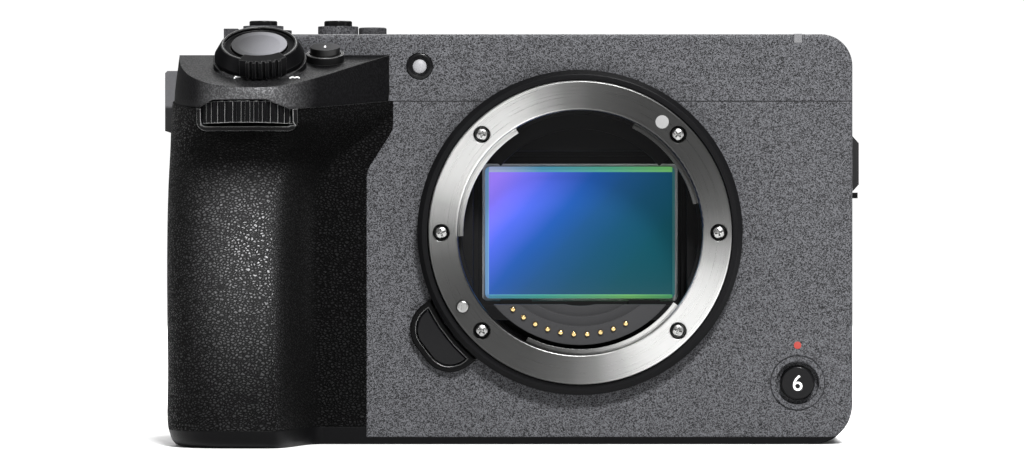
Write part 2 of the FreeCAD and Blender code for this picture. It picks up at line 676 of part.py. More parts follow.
def make_covers():
    shell = body_block(0.0)
    shell = round_edges(shell, edge_round, lambda b: b.YMax < front_y + 0.01)
    shell = shell.cut(body_block(wall))
    floor_left = body_left + corner_bottom_left
    floor_right = body_right - corner_bottom_right
    shell = shell.cut(block(floor_left, floor_right, inner_front, inner_back, base_thickness, wall + 0.1))
    far = INFINITE / 4
    not_grip = block(-far, far, -far, split_y, -far, far).cut(grip_zone)
    front_zone = block(body_left, body_right, front_y, split_y, base_thickness, seam_z).common(not_grip)
    front = shell.common(front_zone)
    before = front_y - 1
    front = front.cut(rod(V(0, before, lens_axis_z), BACK, baffle_step_radius + 1.6, wall + 2))
    button_place = V(front_button_x, before, front_button_z)
    front = front.cut(rod(button_place, BACK, front_bezel_radius + 0.1, wall + 2))
    front = front.cut(release_outline(part_gap - release_rim, before, inner_front + 1))
    for angle in mount_screw_angles:
        place = around_lens(angle, mount_screw_circle, before)
        front = front.cut(rod(place, BACK, screw_shank_radius + 0.1, wall + 2))
    pin_place = around_lens(lock_pin_angle, mount_screw_circle, before)
    front = front.cut(rod(pin_place, BACK, lock_pin_radius + part_gap, wall + 2))
    for name, low, high in side_doors:
        front = front.cut(block(body_right - wall - 0.5, body_right + 1, door_front, door_back, low, high))
        start = V(side_hinge_x, side_hinge_y, low + door_gap)
        front = front.cut(hinge_holes(start, high - low - 2 * door_gap, UP))
    parts["front_cover"] = front

    pad_height = corner_top_left / 2
    pad_low = V(record_x, top_button_y, body_height - pad_height)
    pad = rod(pad_low, UP, switch_pad_radius, pad_height)
    well = rod(pad_low, UP, top_button_radius + foot_thickness, pad_height - wall)
    shell = shell.fuse(pad.cut(body_block(wall))).cut(well)
    top = shell.common(block(body_left, body_right, front_y, body_back, seam_z, body_height))
    pan = block(-12.6, 12.6, shoe_front - 1.2, body_back, body_height - 5.4, body_height - wall / 2)
    top = top.fuse(pan)
    top = top.cut(block(-11.4, 11.4, shoe_front, body_back + 1, body_height - shoe_depth, body_height + 1))
    for x, y in top_bush_places:
        boss = rod(V(x, y, body_height - 7.0), UP, bush_radius + bush_wall, 6.0)
        top = top.fuse(boss)
        top = top.cut(rod(V(x, y, body_height - 6.2), UP, bush_radius + running_gap, 7.0))
    side_boss = rod(V(body_right - 7.5, side_bush_y, side_bush_z), RIGHT, side_bush_radius + 1.2, 6.0)
    above = block(0, body_right, front_y, body_back, seam_z, body_height)
    top = top.fuse(side_boss.common(body_block(wall / 2)).common(above))
    bush_place = V(body_right - 6.5, side_bush_y, side_bush_z)
    top = top.cut(rod(bush_place, RIGHT, side_bush_radius + running_gap, 7.0))
    rear_centre = V(rear_dial_x, rear_dial_y, rear_dial_z)
    rear_lip = rear_dial_height / 2 + 0.3
    pocket = rod(rear_centre - UP * rear_lip, UP, rear_dial_radius + dial_clearance, 2 * rear_lip)
    post_low = rear_dial_z + rear_lip
    post = rod(V(rear_dial_x, rear_dial_y, post_low), UP, 3.0, body_height - wall / 2 - post_low)
    pin = rod(rear_centre - UP * rear_dial_height / 2, UP, axle_radius, rear_dial_height + 1)
    top = top.cut(pocket).fuse([post.cut(pocket), pin])
    for x in (record_x, button_a_x, button_b_x):
        place = V(x, top_button_y, body_height - wall - 1)
        top = top.cut(rod(place, UP, top_button_radius + slide_gap, 2 * wall + 2))
    top = top.cut(rod(V(lamp_x, before, lamp_z), BACK, lamp_radius + 0.1, wall + 1))
    top = top.cut(block(tally_x - tally_width / 2, tally_x + tally_width / 2, front_y - 1, front_y + 1.2,
                        body_height - 1.7, body_height + 1))
    menu = rod(V(menu_x, inner_back - 1, menu_z), BACK, rear_button_radius + slide_gap, wall + 2)
    top = top.cut(menu)
    for x, z in rear_button_places:
        place = V(x, body_back - wall - 3, z)
        top = top.cut(rod(place, BACK, rear_button_radius + slide_gap, panel_depth + 8))
        top = top.cut(rod(place, BACK, rear_button_radius + 1.2, 3.0))
    parts["top_cover"] = top

    rear = shell.common(block(body_left, body_right, split_y, body_back, base_thickness, seam_z))
    corners = rectangle(body_left + 0.5, panel_right, panel_low, panel_top)
    panel = plate_y(corners, [3, 2, 2, panel_corner], body_back, panel_back)
    panel = round_edges(panel, 1.2, lambda b: b.YMin > panel_back - 0.01)
    panel = panel.cut(pocket)
    rear = rear.fuse(panel)
    for low in (arm_low - part_gap - bracket_height, arm_top + part_gap):
        ear = rod(V(hinge_x, hinge_y, low), UP, hinge_radius, bracket_height)
        root = block(hinge_x - 2.2, hinge_x + 2.2, body_back - wall / 2, hinge_y, low, low + bracket_height)
        rear = rear.fuse([ear, root])
    pin_low = rod(V(hinge_x, hinge_y, arm_low - 1), UP, hinge_pin_radius, 3.5)
    pin_top = rod(V(hinge_x, hinge_y, arm_top - 2.5), UP, hinge_pin_radius, 3.5)
    rear = rear.fuse([pin_low, pin_top])
    for x, z in rear_button_places:
        place = V(x, body_back - wall - 1, z)
        rear = rear.cut(rod(place, BACK, rear_button_radius + slide_gap, panel_depth + 6))
    rear = rear.cut(rod(V(wheel_x, panel_back - 2.2, wheel_z), BACK, wheel_radius + 0.3, 4))
    rear = rear.cut(rod(V(wheel_x, body_back - wall - 1, wheel_z), BACK, 2.2, 10))
    pivot = V(joystick_x, joystick_pivot_y, joystick_z)
    rear = rear.cut(rod(V(joystick_x, body_back - wall - 1, joystick_z), BACK, 2.1, 10))
    rear = rear.cut(rod(pivot - BACK * 3.0, BACK, yoke_radius + 0.4, 4.6))
    trunnion_reach = yoke_radius + 1.4
    rear = rear.cut(rod(pivot - RIGHT * trunnion_reach, RIGHT, 0.5 + running_gap, 2 * trunnion_reach))
    rear = rear.cut(rod(V(joystick_x, panel_back - 2.4, joystick_z), BACK, joystick_radius + 1.3, 4))
    rear = rear.cut(block(body_left - 1, body_left + wall + 0.5, card_front, card_back, card_low, card_top))
    rear = rear.cut(hinge_holes(card_hinge, card_top - card_low - 2 * door_gap, UP))
    for i in range(vent_count):
        z = vent_low + i * vent_pitch
        slot = block(body_right - wall - 1, body_right + 1, vent_front, vent_back, z, z + vent_slot)
        rear = rear.cut(slot)
    bush_place = V(body_left - 1, left_bush_y, left_bush_z)
    rear = rear.cut(rod(bush_place, RIGHT, side_bush_radius + running_gap, 8))
    seat = tube(V(body_left + wall, left_bush_y, left_bush_z), RIGHT, side_bush_radius + 1.2,
                side_bush_radius + running_gap, 4.5)
    parts["rear_cover"] = rear.fuse(seat)

    layer = block(body_left, body_right, front_y, body_back, 0, base_thickness)
    base = body_block(0.0).common(layer).cut(grip_zone_low)
    foot_layer = block(-far, 0, -far, split_y, 0, grip_base_height)
    grip_foot = grip_outer.common(foot_layer).common(grip_zone)
    back_layer = block(body_left, grip_boundary_low, split_y, body_back, 0, base_thickness)
    base = base.fuse([grip_foot, body_block(0.0).common(back_layer)])
    base = base.cut(grown_battery(slide_gap))
    base = base.cut(battery_door_space(door_gap))
    x_low, x_high, y_low, y_high = battery_door_plan(0.0)
    base = base.cut(hinge_holes(battery_hinge, y_high - y_low, BACK))
    boss = rod(V(0, 0, base_thickness), UP, bush_radius + bush_wall, tripod_depth)
    base = base.fuse(boss)
    base = base.cut(rod(V(0, 0, -1), UP, bush_radius + running_gap, tripod_depth + 2.6))
    for i in range(intake_count):
        x = intake_left + i * intake_pitch
        slot = rectangle(x, x + intake_slot, intake_front, intake_back)
        base = base.cut(plate_z(slot, [0.7] * 4, -1, 3))
    parts["base_cover"] = base


def release_outline(grow, y_low, y_high):
    # The rounded tab shape of the lens release, along its own direction from the mount's centre.
    inner = surround_radius - 2.0
    corners = [
        (inner, -release_half_width - grow), (release_reach + grow, -release_half_width - grow),
        (release_reach + grow, release_half_width + grow), (inner, release_half_width + grow),
    ]
    turn = math.radians(release_angle)

    def place(p):
        x = p.x * math.cos(turn) - p.y * math.sin(turn)
        z = p.x * math.sin(turn) + p.y * math.cos(turn)
        return V(x, y_low, lens_axis_z + z)

    radius = release_round + grow
    wire = rounded_wire(corners, [0, radius, radius, 0], place)
    solid = Part.Face(wire).extrude(V(0, y_high - y_low, 0))
    inside = surround_radius + part_gap - min(grow, 0)
    return solid.cut(rod(V(0, y_low - 1, lens_axis_z), BACK, inside, INFINITE / 8))


# Places shared by several pieces
shoe_front = 2.0
shoe_depth = 3.6
top_bush_places = ((-24.0, 10.0), (24.0, -5.0), (38.0, 17.0))
side_bush_y = 4.0
side_bush_z = body_height - 8.3
left_bush_y = 21.0
left_bush_z = body_height - 21.8
rear_dial_y = panel_back + rear_dial_proud - rear_dial_radius
menu_x = -26.0
menu_z = body_height - 6.1
rear_button_places = ((-38.0, body_height - 11.5), (-39.0, joystick_z - 11.0), (-38.5, 16.0), (-48.2, 13.0))
door_front = -9.5
door_back = 7.0
door_low = 9.0
door_top = seam_z - 2.8
door_split = (door_low + door_top) / 2 - 1.5
card_front = 16.0
card_back = 27.0
card_low = 10.0
card_top = seam_z - 14.8
slots_depth = 20.9
card_slot_width = 2.4
card_slot_height = 24.5
vent_front = 17.5
vent_back = 26.5
vent_low = 12.0
vent_pitch = 3.4
vent_slot = 1.7
vent_count = int((seam_z - 7.0 - vent_low) / vent_pitch) + 1
intake_left = 18.0
intake_pitch = 3.0
intake_slot = 1.5
intake_front = 8.0
intake_back = 22.0
intake_count = 8
grip_zone_low = block(-INFINITE / 4, grip_boundary_low, -INFINITE / 4, INFINITE / 4, -1, 5)


def battery_door_plan(gap):
    x_low = battery_left - 0.8 - gap
    x_high = battery_left + battery_x + 1.0 + gap
    y_low = battery_front - 1.0 - gap
    y_high = battery_front + battery_y + 0.6 + gap
    return x_low, x_high, y_low, y_high


def battery_door_space(gap):
    x_low, x_high, y_low, y_high = battery_door_plan(gap)
    return block(x_low, x_high, y_low, y_high, -1, door_thickness + door_lift + gap)


door_half = door_thickness / 2
battery_hinge = V(battery_door_plan(0.0)[1] - door_half, battery_door_plan(0.0)[2], door_lift + door_half)
card_hinge = V(body_left + door_half, card_back - door_gap - door_half, card_low + door_gap)
side_hinge_x = body_right - door_half
side_hinge_y = door_front + door_gap + door_half
side_doors = (
    ("video_door", door_low, door_split - side_door_bar / 2),
    ("audio_door", door_split + side_door_bar / 2, door_top),
)


# Mount

def make_mount():
    ring = tube(lens_centre, BACK, mount_radius, throat_radius, mount_stand)
    ring = round_edges(ring, 0.35, lambda b: b.YMax < flange_y + 0.01)
    for first, last in tab_angles:
        low = flange_y + tab_depth
        ring = ring.fuse(sector(tab_radius, throat_radius + 0.5, first, last, low, low + tab_thickness))
    groove_place = V(0, flange_y + tab_depth - 0.01, lens_axis_z)
    groove_inner = throat_radius - throat_groove
    ring = ring.cut(tube(groove_place, BACK, throat_radius, groove_inner, tab_thickness / 2))
    screws = []
    for angle in mount_screw_angles:
        top = around_lens(angle, mount_screw_circle, flange_y)
        head_depth = screw_recess + screw_head_height
        ring = ring.cut(rod(top - BACK, BACK, screw_head_radius + screw_recess_gap, head_depth + 1.0))
        ring = ring.cut(rod(top, BACK, screw_shank_radius + 0.1, mount_stand))
        head = rod(top + BACK * screw_recess, BACK, screw_head_radius, screw_head_height)
        shank_length = mount_stand + wall - screw_recess - 0.1
        shank = rod(top + BACK * screw_recess, BACK, screw_shank_radius, shank_length)
        screws.append(head.fuse(shank))
    pin_place = around_lens(lock_pin_angle, mount_screw_circle, flange_y)
    ring = ring.cut(rod(pin_place - BACK, BACK, lock_pin_radius + running_gap, mount_stand + 2))
    pin = rod(pin_place - BACK * lock_pin_proud, BACK, lock_pin_radius, lock_pin_proud + mount_stand + 0.3)
    parts["lock_pin"] = round_edges(pin, 0.3, lambda b: b.YMax < flange_y - lock_pin_proud + 0.01)
    parts["mount_ring"] = ring
    parts["mount_screws"] = Part.makeCompound(screws)
    surround_front = front_y - surround_height
    surround_place = V(0, surround_front, lens_axis_z)
    surround = tube(surround_place, BACK, surround_radius, mount_radius + part_gap, surround_height)
    front_edges = [e for e in surround.Edges if e.BoundBox.YMax < surround_front + 0.01]
    outer_edge = [e for e in front_edges if e.BoundBox.XMax > surround_radius - 0.1]
    parts["mount_surround"] = surround.makeChamfer(surround_chamfer, outer_edge)

    guard = release_outline(0.0, front_y - release_proud, front_y)
    guard = round_edges(guard, 0.4, lambda b: b.YMax < front_y - release_proud + 0.01)
    guard = guard.cut(release_outline(-release_rim, front_y - 9, front_y + 1))
    parts["release_guard"] = guard
    face = front_y - release_proud + 0.25
    button = release_outline(-release_rim - slide_gap, face, front_y + wall + 0.8)
    parts["release_button"] = round_edges(button, 0.3, lambda b: b.YMax < face + 0.01)


def make_throat():
    # The dark steps between the throat and the sensor, the contact block and its gold pins.
    glass_front = sensor_y - 0.9 - glass_thickness
    half_x = sensor_width / 2 + window_margin
    half_z = sensor_height / 2 + window_margin
    baffle = rod(V(0, front_y + 0.05, lens_axis_z), BACK, baffle_step_radius + 1.4, wall - 0.05)
    low = lens_axis_z - half_z
    top = lens_axis_z + half_z
    back_wall = block(-24.0, 24.0, inner_front, sensor_y + 0.5, lens_axis_z - 22.0, lens_axis_z + 22.0)
    baffle = baffle.fuse(back_wall)
    release_space = release_outline(part_gap - release_rim, front_y, inner_front + release_travel + 1.2)
    baffle = baffle.cut(release_space)
    step_one = rod(V(0, front_y - 1, lens_axis_z), BACK, baffle_step_radius, 1 + wall + 2.5)
    outline_two = rectangle(-half_x - 1.6, half_x + 1.6, low - 3.5, top + 2.35)
    step_two = plate_y(outline_two, [5, 5, 1.5, 1.5], front_y, glass_front - 2.2)
    outline_three = rectangle(-half_x - 0.6, half_x + 0.6, low - 0.8, top + 1.45)
    step_three = plate_y(outline_three, [1.5] * 4, front_y, glass_front + 0.2)
    window = plate_y(rectangle(-half_x, half_x, low, top), [1.0] * 4, front_y, sensor_y + 2)
    baffle = baffle.cut(step_one).cut(step_two).cut(step_three).cut(window)
    arch = sector(arch_radius, baffle_step_radius + 0.2, 40.0, 140.0, inner_front, inner_front + 3.0)
    steps = [arch]
    for x_low, x_high in frame_clips:
        steps.append(block(x_low, x_high, glass_front - 2.4, glass_front + 0.4, low - 1.2, low + 0.3))
    parts["light_baffle"] = baffle.fuse(steps)
    first = 270.0 + contact_first
    last = first + contact_pitch * (contact_count - 1)
    block_front = flange_y + 2.2
    arc = sector(contact_arc_radius - 1.5, contact_outer, first - contact_end_left,
                 last + contact_end_right, block_front, inner_front + 2.3)
    tray = []
    tray_first = 270.0 - tray_half_angle
    tray_last = 270.0 + tray_half_angle
    for outer, inner, sunk in tray_rings:
        tray.append(sector(inner, outer, tray_first, tray_last, block_front + sunk, inner_front + 2.3))
    below_window = half_space(V(0, 0, low - 0.45), UP * -1)
    arc = arc.fuse(tray).common(below_window)
    pins = []
    for i in range(contact_count):
        foot = around_lens(first + i * contact_pitch, contact_arc_radius, block_front - 0.5)
        pin = rod(foot, BACK, contact_radius, 2.4)
        arc = arc.cut(rod(foot, BACK, contact_radius + running_gap, 2.6))
        pins.append(round_edges(pin, 0.2, lambda b: b.YMax < block_front - 0.49))
    parts["contact_block"] = arc
    parts["contact_pins"] = Part.makeCompound(pins)
    glass_low = lens_axis_z - sensor_height / 2
    glass_top = lens_axis_z + sensor_height / 2
    glass_corners = rectangle(-sensor_width / 2, sensor_width / 2, glass_low, glass_top)
    glass_back = glass_front + glass_thickness
    glass = plate_y(glass_corners, [1.0] * 4, glass_front, glass_back)
    rim = [e for e in glass.Edges if e.BoundBox.YMax < glass_front + 0.01]
    parts["sensor_glass"] = glass.makeChamfer(0.6, rim)
    inset = 1.5
    parts["image_sensor"] = block(-half_x + inset, half_x - inset, glass_back, sensor_y + 0.5, low + inset,
                                  top - inset)


# Small pieces of the front and the top

def press_button(place, axis, radius, flange, top, depth):
    # A cap whose wider foot keeps it behind the wall it comes through.
    length = top + depth + foot_gap + foot_thickness
    cap = rod(place + axis * (top - length), axis, radius, length)
    foot = rod(place + axis * (top - length), axis, flange, foot_thickness)
    edge = place + axis * top
    cap = cap.makeFillet(0.3, [e for e in cap.Edges if e.BoundBox.Center.distanceToPoint(edge) < 0.05])
    return cap.fuse(foot)


def make_small_pieces():
    flange = top_button_radius + 0.45
    heights = {
        "record_button": (record_x, record_collar_height + cap_proud),
        "top_button_left": (button_a_x, button_a_collar_height + cap_proud + 0.1),
        "top_button_right": (button_b_x, button_b_height),
    }
    for name, (x, height) in heights.items():
        place = V(x, top_button_y, body_height)
        parts[name] = press_button(place, UP, top_button_radius, flange, height, wall)
    low = body_height + part_gap
    ring = tube(V(record_x, top_button_y, low), UP, switch_radius, collar_radius + slide_gap, switch_height)
    tip_right = record_x - switch_radius + 1.0
    tip = block(record_x - switch_reach, tip_right, top_button_y - 1.3, top_button_y + 1.3, low,
                body_height + switch_height + 0.5)
    tip = tip.cut(rod(V(record_x, top_button_y, low - 1), UP, switch_radius - 0.5, switch_height + 5))
    parts["power_switch"] = ring.fuse(tip)

    place = V(front_button_x, front_y, front_button_z)
    cup = tube(place - BACK * 0.25, BACK, front_bezel_radius, front_bezel_bore, wall + 0.25)
    floor = tube(place + BACK * 1.3, BACK, front_bezel_radius, front_button_radius + slide_gap, wall - 1.3)
    parts["front_button_bezel"] = cup.fuse(floor)
    flange = front_button_radius + 0.8
    parts["front_record_button"] = press_button(place, FRONT, front_button_radius, flange, 0.5, wall)
    lamp = V(lamp_x, front_y, lamp_z)
    parts["focus_lamp"] = rod(lamp - BACK * 0.2, BACK, lamp_radius, wall + 0.2)
    half = tally_width / 2 - 0.05
    parts["tally_lamp"] = block(tally_x - half, tally_x + half, front_y - 0.05, front_y + 1.15,
                                body_height - 1.65, body_height + 0.05)


def make_fittings():
    bush = rod(V(0, 0, 0), UP, bush_radius, tripod_depth + 1.4)
    bushes = [bush.cut(rod(V(0, 0, -1), UP, tripod_radius, tripod_depth + 1))]
    for x, y in top_bush_places:
        insert = rod(V(x, y, body_height - 6.0), UP, bush_radius, 5.9)
        bushes.append(insert.cut(rod(V(x, y, body_height - 5.4), UP, tripod_radius, 7)))
    right = rod(V(body_right - 6.3, side_bush_y, side_bush_z), RIGHT, side_bush_radius, 6.0)
    bushes.append(right.cut(rod(V(body_right - 5.6, side_bush_y, side_bush_z), RIGHT, tripod_radius, 7)))
    left = rod(V(body_left + 6.3, left_bush_y, left_bush_z), LEFT, side_bush_radius, 6.2)
    bushes.append(left.cut(rod(V(body_left + 5.6, left_bush_y, left_bush_z), LEFT, tripod_radius, 7)))
    parts["thread_bushes"] = Part.makeCompound(bushes)

    floor_z = body_height - shoe_depth
    half = shoe_width / 2
    wide = half + shoe_sheet
    plate_front = shoe_front + 0.3
    shoe_back = plate_front + shoe_length
    plate = block(-wide, wide, plate_front, shoe_back, floor_z, floor_z + shoe_sheet)
    rise = floor_z + shoe_sheet + shoe_gap + shoe_sheet
    pieces = []
    for side in (-1, 1):
        wall_x = sorted((side * wide, side * half))
        lip_x = sorted((side * wide, side * (half - 3.1)))
        pieces.append(block(*wall_x, plate_front, shoe_back, floor_z, rise))
        pieces.append(block(*lip_x, plate_front + 1.7, shoe_back, rise - shoe_sheet, rise))
    parts["hot_shoe"] = plate.fuse(pieces)

    right = right_lug()
    left = left_lug().cut(body_block(0.0)).cut(grip_outer.common(below_seam))
    parts["strap_lugs"] = Part.makeCompound([right, left])


right_lug_y = 11.0
right_lug_z = seam_z - 11.5
left_lug_y = 9.0
left_lug_z = seam_z + 0.1


def lug_profile(x, y, z, outline, width):
    points = [V(x + u, y - width / 2, z + v) for u, v in outline]
    return Part.Face(Part.makePolygon(points + [points[0]])).extrude(V(0, width, 0))


def right_lug():
    # A bridge with sloping ends; the strap's ring passes under it from front to back.
    half = right_lug_height / 2
    reach = right_lug_reach
    ends = half - right_lug_slope
    outer = [(0, -half), (reach, -ends), (reach, ends), (0, half)]
    hole = rectangle(0, reach - lug_bar, lug_post - ends, ends - lug_post)
    shape = lug_profile(body_right, right_lug_y, right_lug_z, outer, lug_width)
    return shape.cut(lug_profile(body_right, right_lug_y, right_lug_z, hole, lug_width))


def left_lug():
    # A block beside the deck; the strap passes through its slot from top to bottom.
    half = left_lug_height / 2
    reach = -left_lug_reach
    low = left_lug_low_slope - half
    top = half - left_lug_slope
    corner = reach + left_lug_slope
    outer = [(lug_root, -half), (0, -half), (reach, low), (reach, top), (corner, half), (lug_root, half)]
    shape = lug_profile(grip_left, left_lug_y, left_lug_z, outer, left_lug_width)
    hole = rectangle(reach + lug_bar, 0, -half, half)
    return shape.cut(lug_profile(grip_left, left_lug_y, left_lug_z, hole, left_slot_width))


# Back

def make_monitor():
    corners = rectangle(monitor_left, monitor_right, monitor_low, monitor_top)
    housing = plate_y(corners, [3.0] * 4, monitor_front, monitor_back)
    housing = round_edges(housing, 0.8, lambda b: b.YMin > monitor_back - 0.01)
    glass_corners = rectangle(monitor_left + 3.2, monitor_right - 3.2, monitor_low + 4.5, monitor_top - 3.2)
    recess = plate_y(glass_corners, [1.5] * 4, monitor_back - 1.2, monitor_back + 1)
    inner = rectangle(monitor_left + 3.3, monitor_right - 3.3, monitor_low + 4.6, monitor_top - 3.3)
    middle = (arm_low + arm_top) / 2
    shaft = rod(V(monitor_right - 4, hinge_y, middle), RIGHT, 1.8, 6)
    hole = rod(V(monitor_right - 4.2, hinge_y, middle), RIGHT, 1.8 + running_gap, 6)
    parts["monitor_housing"] = housing.cut(recess).cut(hole)
    parts["monitor_screen"] = plate_y(inner, [1.4] * 4, monitor_back - 1.2, monitor_back - 0.1)
    barrel = rod(V(hinge_x, hinge_y, arm_low), UP, hinge_radius, arm_top - arm_low)
    neck = block(monitor_right, hinge_x, hinge_y - 2.4, hinge_y + 2.4, arm_low + 2, arm_top - 2)
    arm = barrel.fuse([neck, shaft])
    for low in (arm_low - 1, arm_top - 2.7):
        arm = arm.cut(rod(V(hinge_x, hinge_y, low), UP, hinge_pin_radius + running_gap, 3.7))
    parts["monitor_arm"] = arm


def make_controls():
    rear_centre = V(rear_dial_x, rear_dial_y, rear_dial_z)
    wheel = toothed_disc(rear_dial_radius, tooth_depth, dial_teeth, rear_dial_height, rear_centre, UP)
    parts["rear_dial"] = wheel.cut(rod(rear_centre - UP * 5, UP, axle_radius + running_gap, 10))
    wheel_height = 2.0 + wheel_proud
    wheel_centre = V(wheel_x, panel_back + wheel_proud - wheel_height / 2, wheel_z)
    disc = toothed_disc(wheel_radius, 0.35, 48, wheel_height, wheel_centre, BACK)
    bore = rod(wheel_centre - BACK * 5, BACK, centre_radius + slide_gap, 10)
    face_groove = rod(wheel_centre + BACK * 1.2, BACK, wheel_radius - 1.6, 3)
    parts["control_wheel"] = disc.cut(bore).cut(face_groove)
    centre_top = panel_back + wheel_proud - 0.3
    cap_low = panel_back - 1.2
    cap = rod(V(wheel_x, cap_low, wheel_z), BACK, centre_radius, centre_top - cap_low)
    stem = rod(V(wheel_x, panel_back - 4.5, wheel_z), BACK, 2.0, 4.0)
    parts["centre_button"] = round_edges(cap, 0.4, lambda b: b.YMin > centre_top - 0.01).fuse(stem)
    flange = rear_button_radius + 0.8
    names = ("focus_button", "function_button", "playback_button", "delete_button")
    for name, (x, z) in zip(names, rear_button_places):
        place = V(x, panel_back, z)
        depth = panel_depth + wall
        parts[name] = press_button(place, BACK, rear_button_radius, flange, rear_button_proud, depth)
    place = V(menu_x, body_back, menu_z)
    parts["menu_button"] = press_button(place, BACK, rear_button_radius, flange, rear_button_proud, wall)
    pivot = V(joystick_x, joystick_pivot_y, joystick_z)
    stick = rod(pivot, BACK, 1.2, panel_back - joystick_pivot_y)
    cap = rod(V(joystick_x, panel_back - 0.6, joystick_z), BACK, joystick_radius, 2.6)
    cap = round_edges(cap, 0.9, lambda b: b.YMin > panel_back + 1.9)
    cross = rod(pivot - UP * 3.1, UP, 0.5, 6.2)
    parts["joystick"] = stick.fuse([cap, Part.makeSphere(2.0, pivot), cross])
    yoke = tube(pivot - BACK * 0.8, BACK, yoke_radius, 2.3, 1.6)
    trunnion = rod(pivot - RIGHT * (yoke_radius + 1.2), RIGHT, 0.5, 2 * yoke_radius + 2.4)
    yoke = yoke.fuse(trunnion.cut(Part.makeSphere(2.6, pivot)))
    parts["joystick_yoke"] = yoke.cut(rod(pivot - UP * 5, UP, 0.5 + running_gap, 10))
    foot = rectangle(body_left + 1.6, body_left + 17.0, body_height - 37.5, body_height - 14.5)
    ridge = rectangle(body_left + 2.6, body_left + 8.6, body_height - 33.5, body_height - 17.5)
    wires = [
        rounded_wire(foot, [6.0] * 4, lambda p: V(p.x, panel_back, p.y)),
        rounded_wire(ridge, [2.9] * 4, lambda p: V(p.x, panel_back + thumb_rest_depth, p.y)),
    ]
    rest = Part.makeLoft(wires, True, True)
    parts["thumb_rest"] = round_edges(rest, 1.6, lambda b: b.YMin > panel_back + thumb_rest_depth - 0.1)


# Doors and what lies behind them

def hinge_door(low, high, thickness, start, length, axis):
    # A flat door whose hinged edge is round, with a short pin at each end of it.
    leaf = block(low[0], high[0], low[1], high[1], low[2], high[2])
    edge = rod(start, axis, thickness / 2, length)
    pins = rod(start - axis * door_pin_length, axis, door_pin_radius, length + 2 * door_pin_length)
    return leaf.fuse([edge, pins])


def hinge_holes(start, length, axis):
    reach = door_pin_length + door_gap
    return rod(start - axis * reach, axis, door_pin_radius + running_gap, length + 2 * reach)


def make_doors():
    half = door_thickness / 2
    x_low, x_high, y_low, y_high = battery_door_plan(0.0)
    low = (x_low, y_low, door_lift)
    high = (x_high - half, y_high, door_lift + door_thickness)
    parts["battery_door"] = hinge_door(low, high, door_thickness, battery_hinge, y_high - y_low, BACK)
    x_low, x_high, y_low, y_high, z_low, z_high = battery_box
    battery_height = battery_top - battery_floor
    parts["battery"] = round_edges(block(*battery_box), 1.2, lambda b: b.ZLength > battery_height - 0.1)
    low = (body_left, card_front + door_gap, card_low + door_gap)
    high = (body_left + door_thickness, card_hinge.y, card_top - door_gap)
    parts["card_door"] = hinge_door(low, high, door_thickness, card_hinge, high[2] - low[2], UP)
    slots_left = body_left + wall + 0.8
    slots = block(slots_left, slots_left + slots_depth, card_front - 0.4, inner_back, card_low, card_top)
    for y in (card_front + 2.2, card_front + 6.8):
        mouth = block(body_left, slots_left + slots_depth - 2.0, y, y + card_slot_width, card_low + 6.0,
                      card_low + 6.0 + card_slot_height)
        slots = slots.cut(mouth)
    parts["card_slots"] = slots
    for name, bottom, top in side_doors:
        start = V(side_hinge_x, side_hinge_y, bottom + door_gap)
        low = (body_right - door_thickness, side_hinge_y, bottom + door_gap)
        high = (body_right, door_back - door_gap, top - door_gap)
        parts[name] = hinge_door(low, high, door_thickness, start, high[2] - low[2], UP)
    edge = door_back - door_gap
    pull_tab = block(body_right - 0.3, body_right + pull_tab_reach, edge - 1.3, edge, pull_tab_z,
                     pull_tab_z + pull_tab_height)
    parts["audio_door"] = parts["audio_door"].fuse(pull_tab)
    panel_face = body_right - wall
    panel = block(panel_face - 1.7, panel_face, door_front - 1, door_back + 1, door_low - 1, door_top + 1)
    panel_x = body_right - wall - 3
    for z in (door_top - 20.0, door_top - 8.0):
        panel = panel.cut(rod(V(panel_x, -1.0, z), RIGHT, 1.75, 6))
    panel = panel.cut(block(panel_x, panel_x + 6, -3.5, 1.1, door_split - 21.0, door_split - 7.0))
    panel = panel.cut(block(panel_x, panel_x + 6, -2.3, 0.3, door_split - 5.4, door_split - 2.0))
    parts["terminal_panel"] = panel


# Inside

def make_inside():
    z_low = base_thickness + tripod_depth + 0.6
    z_high = seam_z - 2.8
    front = sensor_y + 0.5
    chassis = block(-34.5, 46.0, front, front + chassis_thickness, z_low, z_high)
    board_y = front + chassis_thickness + 4.0
    posts = []
    for x in (-32.0, 42.0):
        for z in (z_low + 3.0, z_high - 4.0):
            posts.append(rod(V(x, front + 1, z), BACK, 1.6, chassis_thickness + 3.0))
    parts["chassis"] = chassis.fuse(posts)
    parts["main_board"] = block(-34.0, 44.0, board_y, board_y + 1.6, z_low, z_high)
    sink_y = board_y + 1.6
    base = block(4.0, 47.0, sink_y, sink_y + 2.0, z_low + 4.5, z_high - 6.0)
    fan_y = sink_y + 2.0
    ring = tube(V(fan_x, fan_y, fan_z), BACK, fan_radius + 2.2, fan_radius + 0.8, 8.0)
    spindle = rod(V(fan_x, fan_y - 1, fan_z), BACK, 1.0, 8.5)
    fins = []
    for i in range(6):
        x = 40.0 + i * 1.2
        fins.append(block(x, x + 0.6, fan_y, fan_y + 8.0, z_low + 6.5, z_high - 8.0))
    outlet = block(fan_x + 4.0, 50.0, fan_y, fan_y + 9.0, fan_z - 8.0, fan_z + 8.0)
    parts["heat_sink"] = base.fuse([ring.cut(outlet), spindle] + fins)
    hub = tube(V(fan_x, fan_y + 0.6, fan_z), BACK, 5.0, 1.0 + running_gap, 6.6)
    blades = []
    for i in range(fan_blades):
        blade = block(fan_x + 4.6, fan_x + fan_radius, fan_y + 0.6, fan_y + 6.6, fan_z - 0.4, fan_z + 0.4)
        blade.rotate(V(fan_x, 0, fan_z), BACK, i * 360.0 / fan_blades)
        blades.append(blade)
    parts["fan_rotor"] = hub.fuse(blades)


